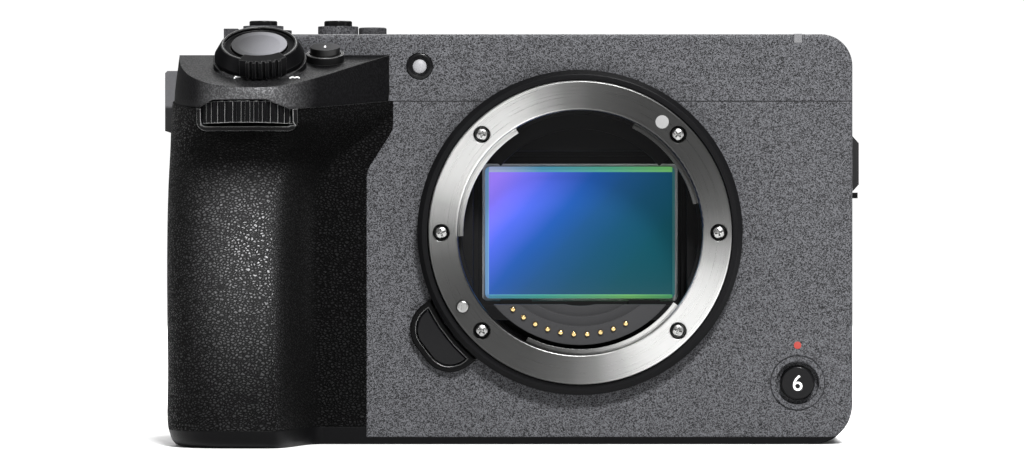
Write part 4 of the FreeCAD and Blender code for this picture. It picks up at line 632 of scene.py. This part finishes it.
ownFinishes = {                                  # pieces that look unlike the rest of their slot
    "grip_deck": deckPlastic("deckBlack", deckLook),
    "tally_lamp": printedInk("tallyLens"),
    "contact_block": mouldedBlack("contactGrey"),
    "deck_button": satinTop("satinCap"),
    "strap_lugs": twoToneLug("lugSatin", lugLook),
    "lock_pin": screwSteel,
    "hot_shoe": socketSteel,
    "thread_bushes": socketSteel,
    "release_guard": frameBlack,
    "front_dial_bezel": frameBlack,
    "top_button_right": finishes["collar_grey"],
    "shutter_button": satinTop("dishedCap"),
    "button_collars": collarSpeckle("collarPaint", collarLook),
}


def dress(node, material):
    shape = frame["nodes"][node]
    if not shape.material_slots:
        shape.data.materials.append(material)
    for place in shape.material_slots:
        place.material = material


for part in frame["record"]["subparts"]:
    dress(part["node"], ownFinishes.get(part["node"]) or finishes[part["material_slot"]])
print("finishes on", len(frame["nodes"]), "pieces of the frame")


# Meshes

def addMesh(name, mesh, material, body, standsFor=()):
    mesh.materials.append(material)
    piece = bpy.data.objects.new(name, mesh)
    bpy.context.scene.collection.objects.link(piece)
    if standsFor:
        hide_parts(*standsFor)
    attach(piece, body)


def meshFrom(name, shape, smooth=35.0):          # edges that turn less than smooth degrees shade as one
    mesh = bpy.data.meshes.new(name)
    bmesh.ops.remove_doubles(shape, verts=shape.verts, dist=0.0001 * mm)
    bmesh.ops.recalc_face_normals(shape, faces=shape.faces)
    for face in shape.faces:
        face.smooth = True
    for edge in shape.edges:
        edge.smooth = len(edge.link_faces) == 2 and edge.calc_face_angle(0.0) < math.radians(smooth)
    shape.to_mesh(mesh)
    shape.free()
    return mesh


def addPiece(name, shape, material, body, standsFor=()):
    addMesh(name, meshFrom(name, shape), material, body, standsFor)


def sideways(axis):                              # two directions across an axis
    helper = right if abs(axis.dot(right)) < 0.9 else up
    first = (helper - axis * helper.dot(axis)).normalized()
    return first, axis.cross(first)


def joinRows(shape, here, there, closed=True):   # faces between two rows of points
    for i in range(len(here) if closed else len(here) - 1):
        j = (i + 1) % len(here)
        shape.faces.new([here[i], here[j], there[j], there[i]])


def addLathe(shape, profile, centre, axis, segments, first=0.0, last=360.0):
    across, along = sideways(axis)
    closed = abs(last - first) >= 360.0
    rings = []
    count = segments if closed else segments + 1
    for i in range(count):
        turn = math.radians(first + (last - first) * i / segments)
        spoke = across * math.cos(turn) + along * math.sin(turn)
        rings.append([shape.verts.new(centre + (spoke * r + axis * h) * mm) for r, h in profile])
    for i in range(segments):
        here, there = rings[i], rings[(i + 1) % count]
        for j in range(len(profile) - 1):
            corners = [here[j], here[j + 1], there[j + 1], there[j]]
            if profile[j][0] == 0:               # a point on the axis leaves a triangle
                corners = corners[1:]
            elif profile[j + 1][0] == 0:
                corners = corners[:2] + corners[3:]
            shape.faces.new(corners)
    return shape


def ringProfile(inner, outer, low, high, soft, steps=3):   # a rounded band, closed on itself
    points = []
    corners = [(outer - soft, low + soft, -90), (outer - soft, high - soft, 0),
               (inner + soft, high - soft, 90), (inner + soft, low + soft, 180)]
    for r, h, start in corners:
        for step in range(steps + 1):
            turn = math.radians(start + 90 * step / steps)
            points.append((r + soft * math.cos(turn), h + soft * math.sin(turn)))
    return points + [points[0]]


def addTile(shape, low, rise):                   # a thin tile on a row of points, open below
    high = [shape.verts.new(point.co + rise) for point in low]
    shape.faces.new(high)
    joinRows(shape, low, high)


def addPlate(shape, outline, thickness, across, along, centre):
    low = [shape.verts.new(centre + (across * u + along * v) * mm) for u, v in outline]
    addTile(shape, low, across.cross(along) * thickness * mm)
    return shape


def circle(radius, count=28):
    turns = [2 * math.pi * i / count for i in range(count)]
    return [(radius * math.cos(turn), radius * math.sin(turn)) for turn in turns]


def aroundLens(angle, radius, y):
    turn = math.radians(angle)
    return Vector((radius * math.cos(turn) * mm, y, lensZ + radius * math.sin(turn) * mm))


def middleOf(node):                              # the middle of a node in X and Z, at its front and its back
    low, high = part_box(node)
    x, z = (low.x + high.x) / 2, (low.z + high.z) / 2
    return Vector((x, low.y, z)), Vector((x, high.y, z))


# Mount

screwLook = {
    "angles": (0, 45, 135, 180, 225, 315), "circle": 26.1, "radius": 1.3, "height": 1.15, "sunk": 1.35,
    "droop": 0.3, "shoulder": 0.82, "side": ((0.95, 0.62), (1.0, 0.4), (1.0, 0.0)),   # shares of the size
    "cornerReach": 0.255, "armReach": 0.5616, "halfArm": 0.136, "recess": 0.55, "floorShare": 0.55,
    "firstTurn": 17, "turnStep": 29, "segments": 48,
}
gapLook = {"inner": 0.03, "outer": 0.24, "low": -0.5, "high": -0.06, "soft": 0.03, "segments": 48,
           "pinAngle": 212.3, "pinInner": 1.06, "pinOuter": 1.3, "pinHigh": -0.04}
dotLook = {"angle": 53.4, "circle": 25.9, "radius": 1.25, "proud": 0.03, "flat": 0.8, "segments": 40}


def addCrossScrew(shape, centre, turn):          # a domed head with a recess in the form of a cross
    look = screwLook
    radius, height = look["radius"], look["height"]
    across, along = sideways(front)
    reach = radius * look["armReach"]

    def spot(u, v, h):
        return shape.verts.new(centre + (across * u + along * v + front * h) * mm)

    def dome(u, v):
        return height * (1 - look["droop"] * min(1.0, math.hypot(u, v) / radius) ** 3)

    outline = []
    for arm in range(4):
        base = math.radians(turn + arm * 90)
        inner = base - math.radians(45)
        outline.append((look["cornerReach"] * math.cos(inner), look["cornerReach"] * math.sin(inner)))
        for side in (-look["halfArm"], look["halfArm"]):
            outline.append((reach * math.cos(base) - side * math.sin(base),
                            reach * math.sin(base) + side * math.cos(base)))
    star = [spot(u, v, dome(u, v)) for u, v in outline]
    share = look["floorShare"]
    floor = [spot(u * share, v * share, height - look["recess"]) for u, v in outline]
    shoulder = look["shoulder"]
    levels = [(shoulder, dome(shoulder * radius, 0))] + [(r, h * height) for r, h in look["side"]]
    rings = [[spot(u, v, h) for u, v in circle(r * radius, look["segments"])] for r, h in levels]
    joinRows(shape, star, floor)
    shape.faces.new(floor)
    edges = []
    for loop in (star, rings[0]):
        for pair in zip(loop, loop[1:] + loop[:1]):
            edges.append(shape.edges.get(pair) or shape.edges.new(pair))
    bmesh.ops.triangle_fill(shape, edges=edges, use_beauty=True, use_dissolve=False, normal=front)
    for here, there in zip(rings, rings[1:]):
        joinRows(shape, here, there)


def makeMountScrews():
    look = screwLook
    shape = bmesh.new()
    for i, angle in enumerate(look["angles"]):
        base = aroundLens(angle, look["circle"], flangeY + look["sunk"] * mm)
        addCrossScrew(shape, base, look["firstTurn"] + i * look["turnStep"])
    addPiece("mountScrews", shape, screwSteel, "camera", ("mount_screws",))


def makeScrewGapShades():                         # a black ring of painted shade in the gap round each head and round the lock pin
    look = gapLook
    shape = bmesh.new()
    inner, outer = screwLook["radius"] + look["inner"], screwLook["radius"] + look["outer"]
    profile = ringProfile(inner, outer, look["low"], look["high"], look["soft"])
    for angle in screwLook["angles"]:
        addLathe(shape, profile, aroundLens(angle, screwLook["circle"], flangeY), front, look["segments"])
    profile = ringProfile(look["pinInner"], look["pinOuter"], look["low"], look["pinHigh"], look["soft"])
    pin = aroundLens(look["pinAngle"], screwLook["circle"], flangeY)
    addLathe(shape, profile, pin, front, look["segments"])
    addPiece("screwGapShades", shape, mouldedBlack("gapShade"), "camera")


def makeIndexDot():
    look = dotLook
    profile = [(0.0, look["proud"]), (look["radius"] * look["flat"], look["proud"]), (look["radius"], 0.0)]
    centre = aroundLens(look["angle"], look["circle"], flangeY)
    shape = addLathe(bmesh.new(), profile, centre, front, look["segments"])
    addPiece("indexDot", shape, printedInk("dotInk"), "camera")


makeMountScrews()
makeScrewGapShades()
makeIndexDot()
print("mount dressed")


# Controls on the front and the top

lampLook = {
    "root": 0.1, "lip": 0.55, "bevel": (0.15, 0.1), "cone": (1.0, 0.45),   # widths and depths from the rim
    "wellRadius": 1.34, "wellDepth": 0.55, "segments": 64, "lensSegments": 48,
    "lens": [(0.0, 0.12), (0.5, 0.15), (1.0, 0.28), (1.3, 0.5), (1.3, 0.7)],   # radii, depths from the rim
}


def makeFocusLamp():
    look = lampLook
    low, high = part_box("focus_lamp")
    centre = middleOf("focus_lamp")[1]
    radius = (high.x - low.x) / 2 / mm
    depth = (high.y - low.y) / mm
    bevelWidth, bevelDepth = look["bevel"]
    coneWidth, coneDepth = look["cone"]
    floor = depth - look["wellDepth"]
    profile = [(0.0, look["root"]), (radius, look["root"]), (radius, depth - bevelDepth),
               (radius - bevelWidth, depth), (radius - look["lip"], depth),
               (radius - coneWidth, depth - coneDepth), (look["wellRadius"], floor), (0.0, floor)]
    bezel = addLathe(bmesh.new(), profile, centre, front, look["segments"])
    addPiece("focusLampBezel", bezel, finishes["button_black"], "camera", ("focus_lamp",))
    profile = [(r, depth - sunk) for r, sunk in look["lens"]]
    lens = addLathe(bmesh.new(), profile, centre, front, look["lensSegments"])
    addPiece("focusLampLens", lens, printedInk("focusGlass"), "camera")


numberLook = {"text": "6", "size": 4.2, "thickness": 0.02, "lift": 0.01}


def makeNumber():                                # the plain number on the front record button
    look = numberLook
    words = bpy.data.curves.new("buttonNumber", "FONT")
    words.body = look["text"]
    words.align_x = "CENTER"
    words.align_y = "CENTER"
    words.size = look["size"] * mm
    words.extrude = look["thickness"] * mm
    shown = bpy.data.objects.new("numberDraft", words)
    bpy.context.scene.collection.objects.link(shown)
    bpy.context.view_layer.update()
    mesh = bpy.data.meshes.new_from_object(shown.evaluated_get(bpy.context.evaluated_depsgraph_get()))
    bpy.data.objects.remove(shown)
    across = [v.co.x for v in mesh.vertices]
    along = [v.co.y for v in mesh.vertices]
    middle = (max(across) + min(across)) / 2
    level = (max(along) + min(along)) / 2
    centre = middleOf("front_record_button")[0]
    for v in mesh.vertices:
        v.co = centre + Vector((v.co.x - middle, -look["lift"] * mm - v.co.z, v.co.y - level))
    mesh.materials.clear()
    addMesh("buttonNumber", mesh, whiteInk, "front_record_button")


redDotLook = {"height": 18.7, "profile": [(0.0, 0.02), (0.62, 0.02), (0.7, 0.0)], "segments": 32}


def makeRedDot():                                # above the front record button, on the cover's face
    look = redDotLook
    centre = middleOf("front_record_button")[0]
    centre.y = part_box("front_cover")[0].y
    centre.z = look["height"] * mm
    shape = addLathe(bmesh.new(), look["profile"], centre, front, look["segments"])
    addPiece("recordDot", shape, printedInk("redInk"), "camera")


leverLook = {"height": 3.0, "rimInner": 6.78, "rimOuter": 7.04, "below": 0.1, "above": 0.06, "soft": 0.05,
             "first": -52.0, "last": 248.0, "segments": 72}   # open at the ribbed tab, in degrees


def makeLeverTrim():
    look = leverLook
    joint = jointNamed("zoom_turn")
    low, high = look["height"] - look["below"], look["height"] + look["above"]
    profile = ringProfile(look["rimInner"], look["rimOuter"], low, high, look["soft"])
    shape = addLathe(bmesh.new(), profile, Vector(joint["pos_m"]), Vector(joint["axis"]).normalized(),
                     look["segments"], look["first"], look["last"])
    addPiece("leverRim", shape, brightMetal("dullSteel"), "zoom_lever")


zoomLook = {"lift": 0.16, "gap": 0.01, "line": 0.24, "left": (-63.7, -31.6), "right": (-53.0, -31.5),
            "peak": [(-0.6, 0.0), (0.6, 0.0), (0.2, 0.35), (0.0, 0.9), (-0.2, 0.35)],
            "hills": [(-0.85, 0.0), (-0.45, 0.8), (0.0, 0.2), (0.45, 0.8), (0.85, 0.0)],
            "above": 120.0}                      # how high the marks are dropped from, over the base


def addOnDeck(shape, outline, place):            # a flat mark that follows the deck's slope
    look = zoomLook
    deck = frame["nodes"]["grip_deck"]
    low = []
    for u, v in outline:
        start = Vector((place[0] + u, place[1] + v, look["above"])) * mm
        landed = deck.ray_cast(start, -up)[1]
        low.append(shape.verts.new(landed + up * look["gap"] * mm))
    addTile(shape, low, up * look["lift"] * mm)


def makeZoomMarks():
    look = zoomLook
    shape = bmesh.new()
    addOnDeck(shape, look["peak"], look["left"])
    half = look["line"] / 2
    for (u1, v1), (u2, v2) in zip(look["hills"], look["hills"][1:]):
        outline = [(u1 - half, v1), (u1 + half, v1), (u2 + half, v2), (u2 - half, v2)]
        addOnDeck(shape, outline, look["right"])
    addPiece("zoomMarks", shape, whiteInk, "camera")


capSpotLook = {"outline": [(-0.22, -0.5), (0.22, -0.5), (0.1, 0.6), (-0.1, 0.6)], "thickness": 0.03,
               "above": 5.0}                     # how far over the cap the search for its face starts


def makeCapSpot():                               # a small white spot on the deck button's face
    look = capSpotLook
    low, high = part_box("deck_button")
    axis = pressFace("deck_button_press").normalized()
    start = (low + high) / 2 + axis * look["above"] * mm
    face = frame["nodes"]["deck_button"].ray_cast(start, -axis)[1]
    shape = addPlate(bmesh.new(), look["outline"], look["thickness"], right, axis.cross(right), face)
    addPiece("deckButtonSpot", shape, whiteInk, "deck_button")


makeFocusLamp()
makeNumber()
makeRedDot()
makeLeverTrim()
makeZoomMarks()
makeCapSpot()
print("controls dressed")


# Printed marks on the back and the top

markLook = {
    "line": 0.3, "lift": 0.02,
    "arrow": [(-0.7, -1.0), (1.0, 0.0), (-0.7, 1.0)],
    "bucket": [(-0.8, 0.6), (-0.6, -1.1), (0.6, -1.1), (0.8, 0.6)], "lid": [(-1.1, 0.75), (1.1, 0.75)],
    "handle": [(-0.35, 1.1), (0.35, 1.1)], "rib": [(0.0, 0.4), (0.0, -0.75)], "ribShare": 0.7,
    "bars": (-0.8, 0.0, 0.8), "barReach": 1.1,
    "frame": [(-1.0, -0.8), (1.0, -0.8), (1.0, 0.8), (-1.0, 0.8)],
    "ring": 1.0, "ringShare": 0.8, "bead": 0.35, "beadSides": 16,
}


def stroke(points, width, closed=False):         # the outlines of a drawn line's straight runs
    outlines = []
    ends = points[1:] + points[:1] if closed else points[1:]
    for (u1, v1), (u2, v2) in zip(points, ends):
        length = math.hypot(u2 - u1, v2 - v1)
        du, dv = (u2 - u1) / length * width / 2, (v2 - v1) / length * width / 2
        outlines.append([(u1 - du + dv, v1 - dv - du), (u2 + du + dv, v2 + dv - du),
                         (u2 + du - dv, v2 + dv + du), (u1 - du - dv, v1 - dv + du)])
    return outlines


def addMarks(name, outlines, centre, across, along, body):
    shape = bmesh.new()
    for outline in outlines:
        addPlate(shape, outline, markLook["lift"], across, along, centre)
    addPiece(name, shape, whiteInk, body)


def makeRearMarks():
    look = markLook
    line = look["line"]
    binMark = stroke(look["bucket"], line) + stroke(look["lid"], line) + stroke(look["handle"], line)
    binMark += stroke(look["rib"], line * look["ribShare"])
    bars = []
    for level in look["bars"]:
        bars += stroke([(-look["barReach"], level), (look["barReach"], level)], line)
    target = stroke(circle(look["ring"]), line * look["ringShare"], closed=True)
    target.append(circle(look["bead"], look["beadSides"]))
    marks = {"playback": [look["arrow"]], "delete": binMark, "menu": bars,
             "function": stroke(look["frame"], line, closed=True), "focus": target}
    for name, outlines in marks.items():
        node = name + "_button"
        addMarks(name + "Mark", outlines, middleOf(node)[1], -right, up, node)


wheelLook = {"circle": 6.6, "sunk": 0.6, "arrow": [(-0.6, -0.4), (0.6, -0.4), (0.0, 0.75)]}


def makeWheelMarks():                            # four arrows, each drawn across a spoke
    look = wheelLook
    marks = []
    for quarter in range(4):
        turn = math.radians(90 * quarter)
        cos, sin = math.cos(turn), math.sin(turn)
        corners = [(look["circle"] + out, side) for side, out in look["arrow"]]
        marks.append([(out * cos - side * sin, out * sin + side * cos) for out, side in corners])
    centre = middleOf("control_wheel")[1] + front * look["sunk"] * mm
    addMarks("wheelMarks", marks, centre, -right, up, "control_wheel")


planeLook = {"x": -31.0, "lift": 0.1, "radius": 1.3, "line": 0.22, "bar": [(-2.6, 0.0), (2.6, 0.0)]}


def makePlaneMark():                             # a ring crossed by a line where the sensor's plane lies
    look = planeLook
    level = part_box("thread_bushes")[1].z + look["lift"] * mm
    centre = Vector((look["x"] * mm, glassHigh.y, level))
    marks = stroke(circle(look["radius"]), look["line"], closed=True) + stroke(look["bar"], look["line"])
    addMarks("sensorPlaneMark", marks, centre, right, back, "camera")


makeRearMarks()
makeWheelMarks()
makePlaneMark()
print("marks printed")


# Threads and contacts

threadLook = {
    "outer": 3.16, "inner": 2.62, "pitch": 1.27, "segments": 28,
    "foot": 0.5, "crest": 0.06,                  # half widths of the ridge, as shares of the pitch
    "top": ((-24.0, 10.0), (24.0, -5.0), (38.0, 17.0)), "topLength": 4.0, "length": 4.2,
    "rightSide": (4.0, 69.2), "leftSide": (21.0, 55.7), "sunk": 0.9, "tripodSunk": 1.0,
}


def addThread(shape, mouth, axis, length):       # a fine ridge that winds down a socket's bore
    look = threadLook
    across, along = sideways(axis)
    ridge = ((look["outer"], -look["foot"]), (look["inner"], -look["crest"]),
             (look["inner"], look["crest"]), (look["outer"], look["foot"]))
    rows = []
    for step in range(int(length / look["pitch"] * look["segments"]) + 1):
        turn = 2 * math.pi * step / look["segments"]
        depth = look["pitch"] * step / look["segments"]
        spoke = across * math.cos(turn) + along * math.sin(turn)
        row = []
        for radius, shift in ridge:
            sunk = axis * (depth + shift * look["pitch"])
            row.append(shape.verts.new(mouth + (spoke * radius - sunk) * mm))
        rows.append(row)
    for here, there in zip(rows, rows[1:]):
        joinRows(shape, here, there, closed=False)


def makeThreads():
    look = threadLook
    low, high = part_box("thread_bushes")
    sunk = look["sunk"] * mm
    shape = bmesh.new()
    for x, y in look["top"]:
        addThread(shape, Vector((x * mm, y * mm, high.z - sunk)), up, look["topLength"])
    addThread(shape, Vector((0, 0, look["tripodSunk"] * mm)), -up, look["length"])
    y, z = look["rightSide"]
    addThread(shape, Vector((high.x - sunk, y * mm, z * mm)), right, look["length"])
    y, z = look["leftSide"]
    addThread(shape, Vector((low.x + sunk, y * mm, z * mm)), -right, look["length"])
    addPiece("socketThreads", shape, socketSteel, "camera")


shoeLook = {
    "floorLift": 0.8, "middle": (0.0, 11.5, 1.6), "side": 4.2, "rows": (15.4, 7.6), "sideRadius": 0.75,
    "dome": [(0.0, 0.16), (0.7, 0.15), (0.92, 0.1), (1.0, 0.0)],   # shares of the radius, and heights
    "collar": {"inner": 0.05, "outer": 0.45, "height": 0.07, "soft": 0.03}, "segments": 32,
}


def makeShoeContacts():
    look = shoeLook
    collar = look["collar"]
    spots = [look["middle"]]
    for y in look["rows"]:
        spots += [(-look["side"], y, look["sideRadius"]), (look["side"], y, look["sideRadius"])]
    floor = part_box("hot_shoe")[0].z + look["floorLift"] * mm
    shape, rings = bmesh.new(), bmesh.new()
    for x, y, radius in spots:
        centre = Vector((x * mm, y * mm, floor))
        profile = [(radius * share, h) for share, h in look["dome"]]
        addLathe(shape, profile, centre, up, look["segments"])
        inner, outer = radius + collar["inner"], radius + collar["outer"]
        profile = ringProfile(inner, outer, 0.0, collar["height"], collar["soft"])
        addLathe(rings, profile, centre, up, look["segments"])
    addPiece("shoeContacts", shape, finishes["gold"], "camera")
    addPiece("contactCollars", rings, finishes["inner_plastic"], "camera")


makeThreads()
makeShoeContacts()
print("threads and contacts made")


# Floor, light and camera

studio = {"floor": (0.92, 0.92, 0.92), "cloud": 0.985, "scale": 0.01, "roughness": 0.9, "steps": 6,
          "left": -2.6, "right": 2.6, "front": -2.4, "back": 1.2, "corner": 0.3}   # metres


def makeStudio():
    look = studio
    corner = look["corner"]
    leftX, rightX = look["left"] + corner, look["right"] - corner
    frontY, backY = look["front"] + corner, look["back"] - corner
    shape = bmesh.new()
    rim = []
    for x, y, start in ((rightX, backY, 0), (leftX, backY, 90), (leftX, frontY, 180), (rightX, frontY, 270)):
        for step in range(look["steps"] + 1):
            turn = math.radians(start + 90 * step / look["steps"])
            rim.append(shape.verts.new((x + corner * math.cos(turn), y + corner * math.sin(turn), 0.0)))
    shape.faces.new(rim)
    mesh = meshFrom("studioFloor", shape, 60)
    paint = Paint("studioPaper", {"Roughness": look["roughness"]})
    cloud = paint.noise(paint.place(), look["scale"])
    paint.colour(paint.mix(cloud, toned(look["floor"], look["cloud"]), look["floor"]))
    mesh.materials.append(paint.material)
    floor = bpy.data.objects.new("studioFloor", mesh)
    bpy.context.scene.collection.objects.link(floor)


lamps = {                                        # places, aims and sizes in metres, power in watts
    "overhead": {"place": (0.12, 0.3, 0.7), "aim": (0.05, 0.1, 0.0), "size": (0.6, 0.4), "power": 5.0},
    "key": {"place": (0.42, -1.95, 1.85), "aim": (0, 0, 0.04), "size": (0.55, 0.5), "power": 150.0},
    "leftBox": {"place": (-0.9, -0.35, 0.45), "aim": (0, 0, 0.04), "size": (0.3, 0.5), "power": 2.0},
    "rightBox": {"place": (0.9, -0.4, 0.3), "aim": (0, 0, 0.04), "size": (0.3, 0.5), "power": 1.0},
    "backWash": {"place": (0.0, 0.75, 1.0), "aim": (0, 0.85, 0.0), "size": (1.6, 0.5), "power": 22.0},
}


def makeLamps():
    for name, look in lamps.items():
        lamp = bpy.data.lights.new(name, "AREA")
        lamp.shape = "RECTANGLE"
        lamp.size, lamp.size_y = look["size"]
        lamp.energy = look["power"]
        holder = bpy.data.objects.new(name, lamp)
        holder.location = look["place"]
        aim = Vector(look["aim"]) - Vector(look["place"])
        holder.rotation_euler = aim.to_track_quat("-Z", "Y").to_euler()
        bpy.context.scene.collection.objects.link(holder)


surroundings = {"room": 0.06, "paper": 1.05}     # a dim room, which the camera sees as a white sheet


def makeSurroundings():
    world = bpy.data.worlds.new("softLight")
    world.use_nodes = True
    tree = world.node_tree
    room = tree.nodes["Background"]
    paper = tree.nodes.new("ShaderNodeBackground")
    for light, name in ((room, "room"), (paper, "paper")):
        light.inputs["Strength"].default_value = surroundings[name]
        light.inputs["Color"].default_value = (1, 1, 1, 1)
    seen = tree.nodes.new("ShaderNodeLightPath")
    both = tree.nodes.new("ShaderNodeMixShader")
    tree.links.new(seen.outputs["Is Camera Ray"], both.inputs["Fac"])
    tree.links.new(room.outputs[0], both.inputs[1])
    tree.links.new(paper.outputs[0], both.inputs[2])
    tree.links.new(both.outputs[0], tree.nodes["World Output"].inputs["Surface"])
    bpy.context.scene.world = world


view = {"distance": 0.95, "near": 0.05, "sensorWidth": 36.0,   # distance and near in metres
        "scale": 0.188, "lensPixel": (580.0, 232.5)}   # millimetres per pixel at the flange


def makeCamera():
    look = view
    camera = bpy.data.cameras.new("photographer")
    camera.sensor_width = look["sensorWidth"]
    camera.lens = look["sensorWidth"] * look["distance"] / mm / (photoWidth * look["scale"])
    camera.shift_x = (photoWidth / 2 - look["lensPixel"][0]) / photoWidth
    camera.shift_y = (look["lensPixel"][1] - photoHeight / 2) / photoWidth
    camera.clip_start = look["near"]
    holder = bpy.data.objects.new("photographer", camera)
    holder.location = (0.0, flangeY - look["distance"], lensZ)
    holder.rotation_euler = (math.radians(90), 0, 0)
    bpy.context.scene.collection.objects.link(holder)
    bpy.context.scene.camera = holder


makeStudio()
makeLamps()
makeSurroundings()
makeCamera()
bpy.context.scene.view_settings.view_transform = "Standard"
print("studio ready")
